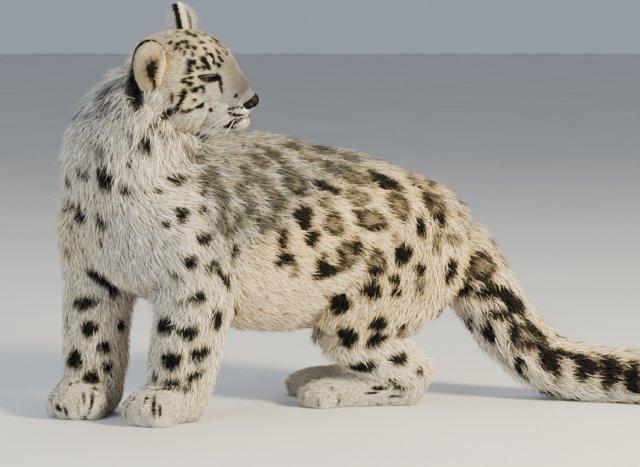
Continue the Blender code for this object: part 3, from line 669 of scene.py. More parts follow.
def along_surface(ways, normals):
    """Ways laid along the surface that they start from."""
    return ways - normals * (ways * normals).sum(1, keepdims=True)


# The way from the model's own millimetres to the frame's metres
eye_low, eye_high = (np.array(corner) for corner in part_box("eye_right"))
SHIFT = (eye_low + eye_high) / 2 - np.array(HEAD @ Vector(mirrored(EYE_PLACE, -1))) * MM


def to_frame(made):
    """Moves an object's mesh, in millimetres, to the frame's metres."""
    made.data.transform(Matrix.Translation(Vector(SHIFT)) @ Matrix.Scale(MM, 4))
    return made


# The eyes' almonds
def almond_frame(side):
    """The ways forward, level and up of an eye's opening."""
    forward = unit(mirrored(EYE_FACING, side))
    level = UP.cross(forward).normalized()
    level = Matrix.Rotation(math.radians(EYE_SLANT) * side, 3, forward) @ level
    return forward, level, forward.cross(level)


def almond_point(frame_of_eye, angle, depth, grow=1.0):
    """A point of the opening's edge, from the eye's middle."""
    forward, level, rise = frame_of_eye
    width, height = EYE_OPENING
    lift = math.sin(angle) * abs(math.sin(angle)) ** ALMOND_POINT
    return (level * width * math.cos(angle) + rise * height * lift) * grow + forward * depth


def add_almond(bm, side):
    """The cutter of an eye's opening."""
    eye = Vector(mirrored(EYE_PLACE, side))
    frame_of_eye = almond_frame(side)
    angles = [math.pi * k / ALMOND_STEPS for k in range(2 * ALMOND_STEPS)]
    near, far = ([bm.verts.new(HEAD @ (eye + almond_point(frame_of_eye, angle, depth)))
                  for angle in angles] for depth in (0, ALMOND_REACH * EYE_RADIUS))
    bm.faces.new(near)
    bm.faces.new(far)
    for k in range(len(angles)):
        bm.faces.new((near[k - 1], near[k], far[k], far[k - 1]))


def mouth_points(tree):
    """The mouth's line laid on a surface, in the head's own frame."""
    turns = [(-angle, height) for angle, height in reversed(MOUTH_LINE[1:])] + list(MOUTH_LINE)
    inverse = HEAD.inverted()
    for angle, height in turns:
        outward = Vector((math.cos(math.radians(angle)), math.sin(math.radians(angle)), 0))
        start = Vector((*MOUTH_CENTRE, height)) + outward * 100
        place = tree.ray_cast(HEAD @ start, HEAD.to_3x3() @ -outward)[0]
        if place:
            yield inverse @ place


# Skin and outline
def make_outline():
    """The solids' outline, as a surface to cast rays at."""
    bm = bmesh.new()
    add_form(bm, 0)
    made = fused(object_of("outline", bm), OUTLINE_VOXEL, OUTLINE_ROUNDS)
    tree = tree_of(made)
    bpy.data.objects.remove(made)
    return tree


def make_skin():
    """One skin over the whole body, with the eyes' openings, the toes' gaps and the mouth cut in."""
    bm = bmesh.new()
    add_form(bm, 1)
    skin = thinned(fused(object_of("skin", bm), SKIN_VOXEL, SKIN_ROUNDS))
    bm = bmesh.new()
    block = Matrix.Diagonal((*FLOOR_BLOCK, UNDERFLOOR, 1))
    block = Matrix.Translation((0, 0, LOWEST - UNDERFLOOR / 2)) @ block
    bmesh.ops.create_cube(bm, size=1, matrix=block)
    cut(skin, bm)
    bm = bmesh.new()
    for name, (_, _, stations, (reach, radii)) in FEET.items():
        broad = max(row[2] for row in stations)
        for near, far in zip(TOE_SPREAD, TOE_SPREAD[1:]):
            place = (reach - TOE_GAP_BACK, (near + far) / 2 * broad, 2 * radii[2])
            add_mass(bm, place, TOE_GAP, foot_matrix(name))
    cut(skin, bm)
    for side in (-1, 1):
        bm = bmesh.new()
        add_almond(bm, side)
        cut(skin, bm)
        bm = bmesh.new()
        add_mass(bm, mirrored(EYE_PLACE, side), [EYE_RADIUS + EYE_ROOM] * 3, HEAD, detail=4)
        cut(skin, bm)
    lips = [(*point, LIP_RADIUS, LIP_RADIUS) for point in mouth_points(tree_of(skin))]
    LIP_PLACES.extend(smoothed(lips, 6)[:, :3])
    bm = bmesh.new()
    add_tube(bm, lips, (0, 0, 1), HEAD, sides=LIP_SIDES, per_span=4)
    cut(skin, bm)
    return skin, lips


# Samples along every tube, which say how the hair lies and which coat grows there, and how fast
# a sample's say falls off with distance
FALL_OFF = 3.0


class Samples:
    """Places inside the form, each with its reach, lie, coat and place on the unwrap."""

    def __init__(self):
        rows = []
        names = list(COATS)
        self.parts = []
        for name, (stations, side, sign, depth, coat) in TUBES.items():
            self.add_part(rows, name, drawn_in(stations, depth), side, sign, names.index(coat), None)
        for name, (_, _, stations, _) in FEET.items():
            stations = drawn_in(placed(stations), FOOT_DEPTHS)
            self.add_part(rows, name, stations, (0, 1, 0), 1, names.index("foot"), foot_matrix(name))
        part = len(self.parts)
        self.parts.append("head")
        turn = HEAD.to_3x3()
        for place, lie, coat in HEAD_LIES:
            for side in (-1, 1) if place[1] else (1,):
                centre = HEAD @ Vector(mirrored(place, side))
                way = (turn @ Vector(mirrored(lie, side))).normalized()
                rows.append((*centre, HEAD_REACH, *way, names.index(coat), part, 0, 0, 0, 0, 0, 0, 0))
        rows = np.array(rows)
        self.centre, self.reach, self.lie = rows[:, :3], rows[:, 3], rows[:, 4:7]
        self.coat = np.array(list(COATS.values()))[rows[:, 7].astype(int)]
        self.kind = rows[:, 7].astype(int)
        self.part = rows[:, 8].astype(int)
        self.along, self.across, self.deep = rows[:, 9], rows[:, 10:13], rows[:, 13:16]

    def add_part(self, rows, name, stations, side, sign, coat, matrix):
        """Adds one tube's samples to rows."""
        curve = smoothed(stations, 3)
        part = len(self.parts)
        self.parts.append(name)
        turn = matrix.to_3x3() if matrix else Matrix.Identity(3)
        lengths = np.linalg.norm(np.diff(curve[:, :3], axis=0), axis=1)
        along = np.concatenate([[0], np.cumsum(lengths)]) / lengths.sum()
        for row, share, (tangent, across, deep) in zip(curve, along, frames_along(curve, side)):
            centre = matrix @ Vector(row[:3]) if matrix else Vector(row[:3])
            reach = (row[3] + row[4]) / 2
            rows.append((*centre, reach, *(turn @ tangent * sign), coat, part, share,
                         *(turn @ across), *(turn @ deep)))

    def weights(self, points):
        """How much each sample counts at each point."""
        square = ((points[:, None, :] - self.centre[None]) ** 2).sum(axis=2)
        near = square / self.reach[None] ** 2
        near -= near.min(axis=1, keepdims=True)
        weights = np.exp(-FALL_OFF * near)
        return weights / weights.sum(axis=1, keepdims=True)

    def read(self, points, chunk=20000):
        """Lie, coat, main kind of coat and part at each point."""
        lies, coats, kinds, parts = [], [], [], []
        for start in range(0, len(points), chunk):
            weights = self.weights(points[start:start + chunk])
            lies.append(weights @ self.lie)
            coats.append(weights @ self.coat)
            best = weights.argmax(axis=1)
            kinds.append(self.kind[best])
            parts.append(self.part[best])
        return np.vstack(lies), np.vstack(coats), np.concatenate(kinds), np.concatenate(parts)

    def unwrap(self, points, parts):
        """Turn round and share along each point's own part, as tiles of one square."""
        turn, share = np.zeros(len(points)), np.zeros(len(points))
        head = self.parts.index("head")
        for part in np.unique(parts):
            chosen = np.flatnonzero(parts == part)
            at = points[chosen]
            if part == head:
                local = in_frame(at, HEAD)
                turn[chosen] = np.arctan2(local[:, 1], local[:, 2])
                share[chosen] = (local[:, 0] + HEAD_TILE[0]) / HEAD_TILE[1]
                continue
            own = np.flatnonzero(self.part == part)
            square = ((at[:, None, :] - self.centre[own][None]) ** 2).sum(axis=2)
            two = np.argsort(square, axis=1)[:, :2]
            near = np.take_along_axis(square, two, axis=1)
            blend = near[:, 1] / (near.sum(axis=1) + 1e-9)
            first, second = own[two[:, 0]], own[two[:, 1]]
            away = at - self.centre[first]
            deep = (away * self.deep[first]).sum(1)
            turn[chosen] = np.arctan2(deep, (away * self.across[first]).sum(1))
            share[chosen] = self.along[first] * blend + self.along[second] * (1 - blend)
        return turn, share


# Tiles of the unwrap: left, bottom, width, height for each part
TILES = {
    "trunk": (0.01, 0.01, 0.46, 0.40),
    "neck": (0.50, 0.01, 0.24, 0.26),
    "head": (0.50, 0.30, 0.30, 0.30),
    "tail": (0.01, 0.44, 0.46, 0.22),
    "foreleg_left": (0.01, 0.69, 0.15, 0.29),
    "foreleg_right": (0.18, 0.69, 0.15, 0.29),
    "thigh_left": (0.35, 0.69, 0.15, 0.29),
    "thigh_right": (0.52, 0.63, 0.15, 0.30),
    "shank_left": (0.69, 0.63, 0.09, 0.30),
    "shank_right": (0.80, 0.63, 0.09, 0.30),
    "left_fore": (0.77, 0.01, 0.10, 0.13),
    "right_fore": (0.88, 0.01, 0.10, 0.13),
    "left_hind": (0.77, 0.16, 0.10, 0.13),
    "right_hind": (0.88, 0.16, 0.10, 0.13),
    "ear_left": (0.83, 0.32, 0.15, 0.13),
    "ear_right": (0.83, 0.47, 0.15, 0.13),
}
# How deep an ear's tile reaches, how far behind the skull's middle the head's begins and how long
# it is, and the margin over a tile's ends
EAR_TILE_DEPTH, HEAD_TILE, TILE_MARGIN = 45, (85, 205), 0.02
# The corners of a tuft's small patch on the map
PATCH = np.array([(0, 0), (-1, 0.8), (1, 0.8), (0, 1.0), (0, 2)]) * 0.0015


def tiled(samples, parts, turn, share):
    """Turn and share along each part as places on its tile."""
    tiles = np.array([TILES[name] for name in samples.parts])[parts]
    across = tiles[:, 0] + tiles[:, 2] * (turn / (2 * math.pi) + 0.5)
    along = tiles[:, 1] + tiles[:, 3] * np.clip(share, -TILE_MARGIN, 1 + TILE_MARGIN)
    return np.stack([across, along], axis=1)


def lay_unwrap(mesh, samples, points, parts):
    """Gives the skin its map, face by face on its part's tile."""
    loops = loop_vertices(mesh)
    starts = np.empty(len(mesh.polygons), int)
    mesh.polygons.foreach_get("loop_start", starts)
    totals = np.empty(len(mesh.polygons), int)
    mesh.polygons.foreach_get("loop_total", totals)
    face_part = parts[loops[starts]]
    loop_part = np.repeat(face_part, totals)
    turn, share = samples.unwrap(points[loops], loop_part)
    first = np.repeat(turn[starts], totals)
    turn = first + (turn - first + math.pi) % (2 * math.pi) - math.pi
    layer = mesh.uv_layers.new(name="OFBake")
    layer.data.foreach_set("uv", tiled(samples, loop_part, turn, share).ravel())


# The mouth's line: how thick it is, how far its dark reaches under and over it and along it, and its places
# once it is laid. The dark under it is the black lower lip with painted shade below it.
LIP_RADIUS, LIP_AND_SHADE_DEPTH, LIP_REACH = 1.5, (5.5, 2.0), 4.0
LIP_PLACES = []


# Markings
# How much longer or shorter than in the picture a marking may get on the surface
MARK_LONGEST, MARK_SHORTEST = 3.2, 0.4
# A marking's frayed edge: where it ends, how it fades, frays and waves, and how far around and
# how deep into the body it is looked for
MARK_EDGE, MARK_FADE, MARK_FRAY, MARK_WAVE, MARK_REACH = 1.22, 0.24, 0.07, 0.1, (1.6, 14)
MARK_DEPTH = 0.75
# A ring's inner fade, how dark its middle is, and how uneven the ring
RING_FADE, RING_MIDDLE, RING_UNEVEN = 0.28, 0.72, 0.12
# Unseen markings: how far at most their place faces the camera, the least height over the floor,
# and the spread of their sizes and lengths
UNSEEN_FACING, UNSEEN_LOW, UNSEEN_SIZES, UNSEEN_LENGTHS = 0.02, 6, (0.75, 1.15), (0.8, 1.15)
# Which fine marks of the face are mirrored: above and beside these, and within this reach
MIRROR_LOW, MIRROR_REACH, MIRROR_SIDE = -95, 125, -4
# The rims of the eyes: how wide above and below, how they fade, and how far back, out and up they go
RIM_UPPER, RIM_LOWER, RIM_FADE, RIM_AHEAD, RIM_OUT, RIM_UP = 1.75, 1.4, 0.22, 2, 26, 14
# Where the dark of the lips ends and how it fades
LIP_EDGE, LIP_FADE = 1.1, 0.25
# The painted shade in the gaps between toes: how dark, where it ends, how it fades, how far it lies ahead of
# the cut and up, and its half length, width and height, with up and height in toe heights
GAP_SHADE, GAP_EDGE, GAP_FADE = 0.9, 1.25, 0.4
GAP_AHEAD, GAP_UP, GAP_LENGTH, GAP_WIDTH, GAP_HEIGHT = 5, 1.2, 20, 2.0, 0.8
# A distance that counts as far from every gap
FAR_OFF = 9.0


def camera_frame():
    """The camera's place and its ways right, up and forward, in the model's millimetres."""
    forward = Vector((0, math.cos(CAMERA_TILT), -math.sin(CAMERA_TILT)))
    place = Vector((0, 0, AIM_HEIGHT)) - forward * CAMERA_DISTANCE
    right = Vector((1, 0, 0))
    return place, right, right.cross(forward), forward


def seen(tree, x, y):
    """Where the sight line through a picture point meets a surface, and the surface's way out."""
    place, right, up, forward = camera_frame()
    way = forward * CAMERA_DISTANCE / PIXEL + right * (x - PHOTO_AIM[0]) - up * (y - PHOTO_AIM[1])
    return tree.ray_cast(place, way.normalized())[:2]


def seen_markings(tree):
    """Each marking as centre, two half axes, way out and kind."""
    for entry in ";".join(MARKINGS.values()).replace("\n", ";").split(";"):
        if not entry.strip():
            continue
        *numbers, kind = entry.split()
        x, y, width, height, tilt = map(float, numbers)
        centre, out = seen(tree, x, y)
        if centre is None:
            continue
        axes = []
        tilt = math.radians(tilt)
        for reach, angle in ((width / 2, tilt), (height / 2, tilt + math.pi / 2)):
            step = Vector((math.cos(angle), math.sin(angle))) * reach
            ends = [seen(tree, x + sign * step.x, y + sign * step.y)[0] for sign in (-1, 1)]
            flat = (Vector((1, 0, 0)) * step.x - UP * step.y) * PIXEL
            axis = flat
            if all(ends) and (ends[1] - ends[0]).length < MARK_LONGEST * flat.length:
                axis = (ends[1] - ends[0]) / 2
            axis = axis - out * axis.dot(out)
            axes.append(axis if axis.length > MARK_SHORTEST * flat.length else flat)
        yield (centre, *axes, out, kind)


def unseen_markings(skin_points, skin_normals, kinds, lies, rng):
    """Seeded markings on the surfaces that face away from the camera."""
    place = np.array(camera_frame()[0])
    toward = place - skin_points
    facing = (toward * skin_normals).sum(1) / np.linalg.norm(toward, axis=1)
    hidden = (facing < UNSEEN_FACING) & (skin_points[:, 2] > UNSEEN_LOW)
    names = list(COATS)
    for coat, count, spacing, size, kind in UNSEEN:
        pool = np.flatnonzero(hidden & (kinds == names.index(coat)))
        chosen = []
        for k in rng.permutation(pool):
            point = skin_points[k]
            if any(np.linalg.norm(point - other) < spacing for other in chosen):
                continue
            chosen.append(point)
            out, lie = Vector(skin_normals[k]), Vector(lies[k])
            lie = (lie - out * lie.dot(out)).normalized()
            scale = size / 2 * rng.uniform(*UNSEEN_SIZES)
            length = lie * scale * rng.uniform(*UNSEEN_LENGTHS)
            yield (Vector(point), length, lie.cross(out) * scale, out, kind)
            if len(chosen) == count:
                break


def all_markings(outline, points, normals, kinds, lies, rng):
    """Seen markings, the face's fine ones mirrored to its other side, and unseen ones."""
    marks = list(seen_markings(outline))
    inverse = HEAD.inverted()
    flip = HEAD @ Matrix.Diagonal((1, -1, 1, 1)) @ inverse
    turn = flip.to_3x3()
    for centre, width, height, out, kind in list(marks):
        local = inverse @ centre
        on_face = local.z > MIRROR_LOW and local.length < MIRROR_REACH
        if kind == "t" and on_face and local.y < MIRROR_SIDE:
            marks.append((flip @ centre, turn @ width, turn @ height, turn @ out, kind))
    marks += unseen_markings(points, normals, kinds, lies, rng)
    return marks


def eye_distance(local, side):
    """How far each place lies from an eye's almond, whose edge is 1, and how far out, up and ahead."""
    forward, level, rise = (np.array(way) for way in almond_frame(side))
    away = local - np.array(mirrored(EYE_PLACE, side))
    across, up = away @ level * side, away @ rise
    width, height = EYE_OPENING
    return np.hypot(across / width, up / height), across, up, away @ forward


def liner_and_shade(points):
    """The dark rims of the eyes, the black lips with painted shade under the lower lip, and the painted
    shade between the toes.
    """
    dark = np.zeros(len(points))
    near = np.flatnonzero(np.linalg.norm(points - np.array(HEAD_PLACE), axis=1) < HEAD_RADIUS)
    local = in_frame(points[near], HEAD)
    found = np.zeros(len(near))
    for side in (-1, 1):
        ring, across, up, ahead = eye_distance(local, side)
        wide = np.where(up > 0, RIM_UPPER, RIM_LOWER)
        value = np.clip((wide - ring) / RIM_FADE, 0, 1)
        value[(ahead < RIM_AHEAD) | (np.abs(across) > RIM_OUT) | (np.abs(up) > RIM_UP)] = 0
        found = np.maximum(found, value)
    # The black lips, with painted shade under the lower lip.
    for place in LIP_PLACES:
        away = local - place
        drop = away[:, 2] / np.where(away[:, 2] < 0, *LIP_AND_SHADE_DEPTH)
        level = np.hypot(away[:, 0], away[:, 1]) / LIP_REACH
        found = np.maximum(found, np.clip((LIP_EDGE - np.hypot(drop, level)) / LIP_FADE, 0, 1))
    dark[near] = found
    # Painted shade in the gaps between the toes.
    for name in FEET:
        gap = np.clip((GAP_EDGE - toe_gap_distance(points, name)) / GAP_FADE, 0, 1)
        dark = np.maximum(dark, GAP_SHADE * gap)
    return dark


def toe_gap_distance(points, name):
    """How far each point lies from the nearest gap between a foot's toes, whose edge is 1."""
    stations, (reach, radii) = FEET[name][2:]
    broad = max(row[2] for row in stations)
    local = in_frame(points, foot_matrix(name))
    size = np.array((GAP_LENGTH, GAP_WIDTH, GAP_HEIGHT * radii[2]))
    nearest = np.full(len(points), FAR_OFF)
    for near, far in zip(TOE_SPREAD, TOE_SPREAD[1:]):
        middle = np.array((reach + GAP_AHEAD, (near + far) / 2 * broad, GAP_UP * radii[2]))
        nearest = np.minimum(nearest, np.linalg.norm((local - middle) / size, axis=1))
    return nearest


def darkness(points, marks, rng):
    """How dark the markings make each point, with the dark eye rims, the lips and the painted shade in the
    toe gaps and under the lower lip.
    """
    dark = liner_and_shade(points)
    fray = rng.normal(0, MARK_FRAY, len(points))
    for centre, width, height, out, kind in marks:
        hollow, strength = KINDS[kind]
        away = points - np.array(centre)
        reach = MARK_REACH[0] * max(width.length, height.length) + MARK_REACH[1]
        near = np.flatnonzero((np.abs(away) < reach).all(axis=1))
        if not len(near):
            continue
        away = away[near]
        across = away @ np.array(width) / width.length_squared
        along = away @ np.array(height) / height.length_squared
        depth = np.abs(away @ np.array(out))
        angle = np.arctan2(along, across)
        wave = 1 + MARK_WAVE * np.sin(3 * angle + centre.x)
        distance = np.hypot(across, along) * wave + fray[near]
        value = np.clip((MARK_EDGE - distance) / MARK_FADE, 0, 1)
        if hollow:
            inner = np.clip((distance - hollow + RING_FADE / 2) / RING_FADE, 0, 1)
            uneven = 1 - RING_UNEVEN + RING_UNEVEN * np.sin(2 * angle + centre.z)
            value *= RING_MIDDLE + (1 - RING_MIDDLE) * inner * uneven
        value[depth > MARK_DEPTH * reach] = 0
        dark[near] = np.maximum(dark[near], value * strength)
    return dark


# Materials
# How fine the coat's patches and mottling are, and how dark the skin under the tufts is made, a painted
# shade under the coat
PATCHES, MOTTLING, UNDER_COAT_SHADE = 38, 48, 0.8
# Grey levels along a ramp: over the coat's patches, from dark to pale tufts, and from root to tip, the last
# a painted shade deep in the coat
PATCH_STOPS = ((0.3, 0.80), (0.7, 1.08))
SHADE_STOPS = ((0, 0.42), (0.5, 0.86), (1, 1.0))
ROOT_SHADE_STOPS = ((0, 0.55), (0.4, 0.9), (1, 1.0))
STREAK_STOPS = ((0.3, 0.5), (0.7, 1.4))
# The eye's colours from its front to its back: pupil, iris, dark edge and the white's brown; the iris's own
# colour is darkened by painted shade of the squinting lids and brow
SHADED_IRIS_STOPS = (
    (0.0, (0.003, 0.003, 0.003)),
    (0.15, (0.003, 0.003, 0.003)),
    (0.165, (0.035, 0.022, 0.008)),
    (0.24, (0.045, 0.034, 0.014)),
    (0.30, (0.015, 0.012, 0.007)),
    (0.34, (0.008, 0.007, 0.006)),
    (1.0, (0.02, 0.014, 0.012)),
)


def material(name, roughness, **constants):
    """A new material with its node tree and its surface."""
    made = bpy.data.materials.new(name)
    made.use_nodes = True
    surface = made.node_tree.nodes["Principled BSDF"]
    surface.inputs["Roughness"].default_value = roughness
    for key, value in constants.items():
        surface.inputs[key.replace("_", " ")].default_value = value
    return made, made.node_tree, surface


def dressed(made, surface):
    """Gives an object that material alone, smooth."""
    made.data.materials.clear()
    made.data.materials.append(surface)
    made.data.shade_smooth()
    return made


class Nodes:
    """Short ways to add nodes to a material."""

    def __init__(self, tree):
        self.tree = tree

    def add(self, kind, **settings):
        node = self.tree.nodes.new(kind)
        for key, value in settings.items():
            setattr(node, key, value)
        return node

    def link(self, source, target):
        if isinstance(source, bpy.types.NodeSocket):
            self.tree.links.new(source, target)
        else:
            target.default_value = (*source, 1) if isinstance(source, tuple) else source

    def read(self, name):
        return self.add("ShaderNodeAttribute", attribute_name=name).outputs["Fac"]

    def mix(self, share, first, second, blend="MIX"):
        node = self.add("ShaderNodeMix", data_type="RGBA", blend_type=blend)
        self.link(share, node.inputs[0])
        self.link(first, node.inputs[6])
        self.link(second, node.inputs[7])
        return node.outputs[2]

    def noise(self, scale, detail=3):
        place = self.add("ShaderNodeTexCoord").outputs["Object"]
        noise = self.add("ShaderNodeTexNoise")
        noise.inputs["Scale"].default_value = scale
        noise.inputs["Detail"].default_value = detail
        self.link(place, noise.inputs["Vector"])
        return noise.outputs["Fac"]

    def ramp(self, source, stops):
        node = self.add("ShaderNodeValToRGB")
        ramp = node.color_ramp
        while len(ramp.elements) < len(stops):
            ramp.elements.new(0.5)
        for element, (place, colour) in zip(ramp.elements, stops):
            element.position = place
            element.color = (*colour, 1)
        self.link(source, node.inputs[0])
        return node.outputs[0]

    def bump(self, height, strength, distance, surface):
        node = self.add("ShaderNodeBump")
        node.inputs["Strength"].default_value = strength
        node.inputs["Distance"].default_value = distance
        self.link(height, node.inputs["Height"])
        self.link(node.outputs["Normal"], surface.inputs["Normal"])


def grey_level(value):
    return (value, value, value)


def greys(stops):
    """A ramp's stops from grey levels."""
    return [(place, grey_level(value)) for place, value in stops]


def coat_material(name, skin):
    """Fur: its colour comes from the values that each tuft or skin point carries."""
    made, tree, surface = material(name, 0.9 if skin else 0.8, Specular_IOR_Level=0.1)
    nodes = Nodes(tree)
    patchy = nodes.noise(PATCHES)
    mottled = nodes.ramp(nodes.noise(MOTTLING, 2), ((0.40, DARK_GREY), (0.60, GREY)))
    base = nodes.mix(nodes.read("warm"), mottled, CREAM)
    base = nodes.mix(nodes.read("pale"), base, WHITE)
    base = nodes.mix(0.5, base, nodes.ramp(patchy, greys(PATCH_STOPS)), "MULTIPLY")
    base = nodes.mix(1.0, base, nodes.ramp(nodes.read("shade"), greys(SHADE_STOPS)), "MULTIPLY")
    base = nodes.mix(nodes.read("bare"), base, BARE)
    # The markings' ink, which also paints shade in the toe gaps, under the lower lip and in the ears' cups.
    base = nodes.mix(nodes.read("spot"), base, INK_AND_PAINTED_SHADE)
    if skin:
        # The skin darkened: painted shade under the tufts.
        base = nodes.mix(1.0, base, grey_level(UNDER_COAT_SHADE), "MULTIPLY")
        nodes.bump(nodes.noise(420, 2), 0.5, 0.002, surface)
    else:
        # Each tuft darker towards its root: painted shade deep in the coat.
        base = nodes.mix(1.0, base, nodes.ramp(nodes.read("along"), greys(ROOT_SHADE_STOPS)), "MULTIPLY")
    nodes.link(base, surface.inputs["Base Color"])
    return made


def plain_material(name, dark, light, roughness, scale, bump, **constants):
    """A skin of its own: mottled colour and fine relief."""
    made, tree, surface = material(name, roughness, **constants)
    nodes = Nodes(tree)
    colour = nodes.ramp(nodes.noise(scale), ((0.35, dark), (0.7, light)))
    nodes.link(colour, surface.inputs["Base Color"])
    nodes.bump(nodes.noise(scale * 4, 4), bump, 0.001, surface)
    return made


def eye_material():
    """A wet eye, its iris darkened by painted shade of the lids and brow: its colour comes from how far
    round each point lies from its front.
    """
    gloss = {"Coat_Weight": 0.04, "Coat_Roughness": 0.05, "Specular_IOR_Level": 0.03}
    made, tree, surface = material("eye_surface", 0.08, **gloss)
    nodes = Nodes(tree)
    streaks = nodes.noise(900, 4)
    # The iris's own colour darkened by painted shade of the lids and brow.
    rings = nodes.ramp(nodes.read("turn"), SHADED_IRIS_STOPS)
    colour = nodes.mix(0.6, rings, nodes.ramp(streaks, greys(STREAK_STOPS)), "MULTIPLY")
    nodes.link(colour, surface.inputs["Base Color"])
    return made


def set_values(mesh, **values):
    """Gives each of a mesh's points its values."""
    for name, numbers in values.items():
        layer = mesh.attributes.new(name, "FLOAT", "POINT")
        layer.data.foreach_set("value", np.asarray(numbers, np.float32))


# Tufts
TUFT_FACES = np.array([(0, 1, 2), (0, 2, 3), (0, 3, 1), (2, 1, 4), (3, 2, 4), (1, 3, 4)])
TUFT_CORNERS = 5
# How much of a tuft's shading follows the surface it lies on, from which length on it does so in
# full, and the least share for short ones
SOFTNESS, LONG_TUFT, SHORT_SHARE = 0.5, 16, 0.4
# How far a tuft turns and curls; where along it its ring of three corners stands, how high and how
# much of the curl it has; how high the tip, how deep the root, and how thick the ring is
TUFT_TURN, TUFT_CURL, RING_AT, RING_RISE, RING_CURL = 0.35, 0.10, 0.40, 0.75, 0.3
TIP_RISES, ROOT_DEPTH, RING_UNDER, RING_OVER = (0.8, 1.04), 1.2, 0.3, 0.6


def tuft_vertices(roots, normals, lies, lengths, widths, heights, rng):
    """Five corners a tuft: its root, a ring of three and its tip, bent over along the lie."""
    count = len(roots)
    across = rows_of(np.cross(lies, normals))
    twist = rng.normal(0, TUFT_TURN, count)[:, None]
    wide = rows_of(across + normals * twist)
    thick = np.cross(wide, lies)
    curl = across * (rng.normal(0, TUFT_CURL, count) * lengths)[:, None]
    middle = roots + lies * (lengths * RING_AT)[:, None]
    middle = middle + normals * (heights * RING_RISE)[:, None] + curl * RING_CURL
    rises = (heights * rng.uniform(*TIP_RISES, count))[:, None]
    tip = roots + lies * lengths[:, None] + normals * rises + curl
    half = (widths / 2)[:, None]
    corners = np.empty((count, TUFT_CORNERS, 3))
    corners[:, 0] = roots - normals * ROOT_DEPTH
    corners[:, 1] = middle - wide * half - thick * half * RING_UNDER
    corners[:, 2] = middle + wide * half - thick * half * RING_UNDER
    corners[:, 3] = middle + thick * half * RING_OVER
    corners[:, 4] = tip
    corners[:, :, 2] = np.maximum(corners[:, :, 2], LOWEST)
    return corners


def tuft_mesh(name, corners, outs, uvs, values):
    """One mesh of many tufts, each a small patch on the map at its root's place."""
    count = len(corners)
    mesh = bpy.data.meshes.new(name)
    mesh.vertices.add(TUFT_CORNERS * count)
    mesh.vertices.foreach_set("co", (corners * MM + SHIFT).astype(np.float32).ravel())
    faces = (TUFT_FACES[None] + TUFT_CORNERS * np.arange(count)[:, None, None]).reshape(-1, 3)
    mesh.loops.add(faces.size)
    mesh.loops.foreach_set("vertex_index", faces.ravel().astype(np.int32))
    mesh.polygons.add(len(faces))
    mesh.polygons.foreach_set("loop_start", np.arange(0, faces.size, 3, dtype=np.int32))
    mesh.update(calc_edges=True)
    places = (uvs[:, None] + PATCH[None]).reshape(-1, 2)
    layer = mesh.uv_layers.new(name="OFBake")
    layer.data.foreach_set("uv", np.clip(places[faces.ravel()], 0, 1).astype(np.float32).ravel())
    own = normals_of(mesh)
    lengths = np.linalg.norm(corners[:, 4] - corners[:, 0], axis=1)
    softness = SOFTNESS * np.clip(lengths / LONG_TUFT, SHORT_SHARE, 1)
    softness = np.repeat(softness, TUFT_CORNERS)[:, None]
    soft = rows_of(own * (1 - softness) + np.repeat(outs, TUFT_CORNERS, axis=0) * softness)
    turned = mesh.attributes.new("custom_normal", "FLOAT_VECTOR", "POINT")
    turned.data.foreach_set("vector", soft.astype(np.float32).ravel())
    set_values(mesh, along=np.tile([0, RING_AT, RING_AT, RING_AT, 1], count),
               **{key: np.repeat(numbers, TUFT_CORNERS) if numbers.ndim == 1 else numbers.ravel()
                  for key, numbers in values.items()})
    made = bpy.data.objects.new(name, mesh)
    bpy.context.scene.collection.objects.link(made)
    return made


def scattered(mesh, weights, count, rng):
    """Random places on a mesh's triangles, by area and weight, as three corners and their shares."""
    mesh.calc_loop_triangles()
    corners = np.empty(3 * len(mesh.loop_triangles), int)
    mesh.loop_triangles.foreach_get("vertices", corners)
    corners = corners.reshape(-1, 3)
    places = vertices_of(mesh)[corners]
    edges = places[:, 1:] - places[:, :1]
    areas = np.linalg.norm(np.cross(edges[:, 0], edges[:, 1]), axis=1)
    chance = np.cumsum(areas * weights[corners].mean(axis=1))
    picks = np.searchsorted(chance, (np.arange(count) + rng.random(count)) / count * chance[-1])
    picks = np.minimum(picks, len(corners) - 1)
    a, b = np.sort(rng.random((2, count)), axis=0)
    shares = np.stack([a, b - a, 1 - b], axis=1)
    return corners[picks], shares


def carried(values, corners, shares):
    """Values of a mesh's vertices at scattered places."""
    if values.ndim == 1:
        return (values[corners] * shares).sum(axis=1)
    return (values[corners] * shares[:, :, None]).sum(axis=1)


def heights_over(points, normals, tree):
    """How far the outline lies out from each skin point."""
    heights = np.empty(len(points))
    for k, (point, normal) in enumerate(zip(points, normals)):
        distance = tree.ray_cast(point, normal, OUTLINE_RANGE)[3]
        heights[k] = OUTLINE_MISSED if distance is None else distance
    return heights


# The grey back: how soft its edge is, and how much pale and warm it takes away
BACK_FADE, BACK_PALE, BACK_WARM = 60, 0.25, 0.9
# How much paler the underside is, and on the tail how much paler below, darker above and how much
# less warm below
UNDER_PALE, TAIL_UNDER, TAIL_OVER, TAIL_COOL = 0.35, 0.3, 0.15, 0.5
# How much paler and less warm the white chest is
CHEST_PALE, CHEST_WARM = 0.5, 0.85
# The bare skin of the nose: where it begins ahead and below, how it fades, and how bare it is
BARE_AHEAD, BARE_SLANT, BARE_LOW, BARE_FADES, BARE_MOST = 62, 0.25, 47, (30, 8), 0.9


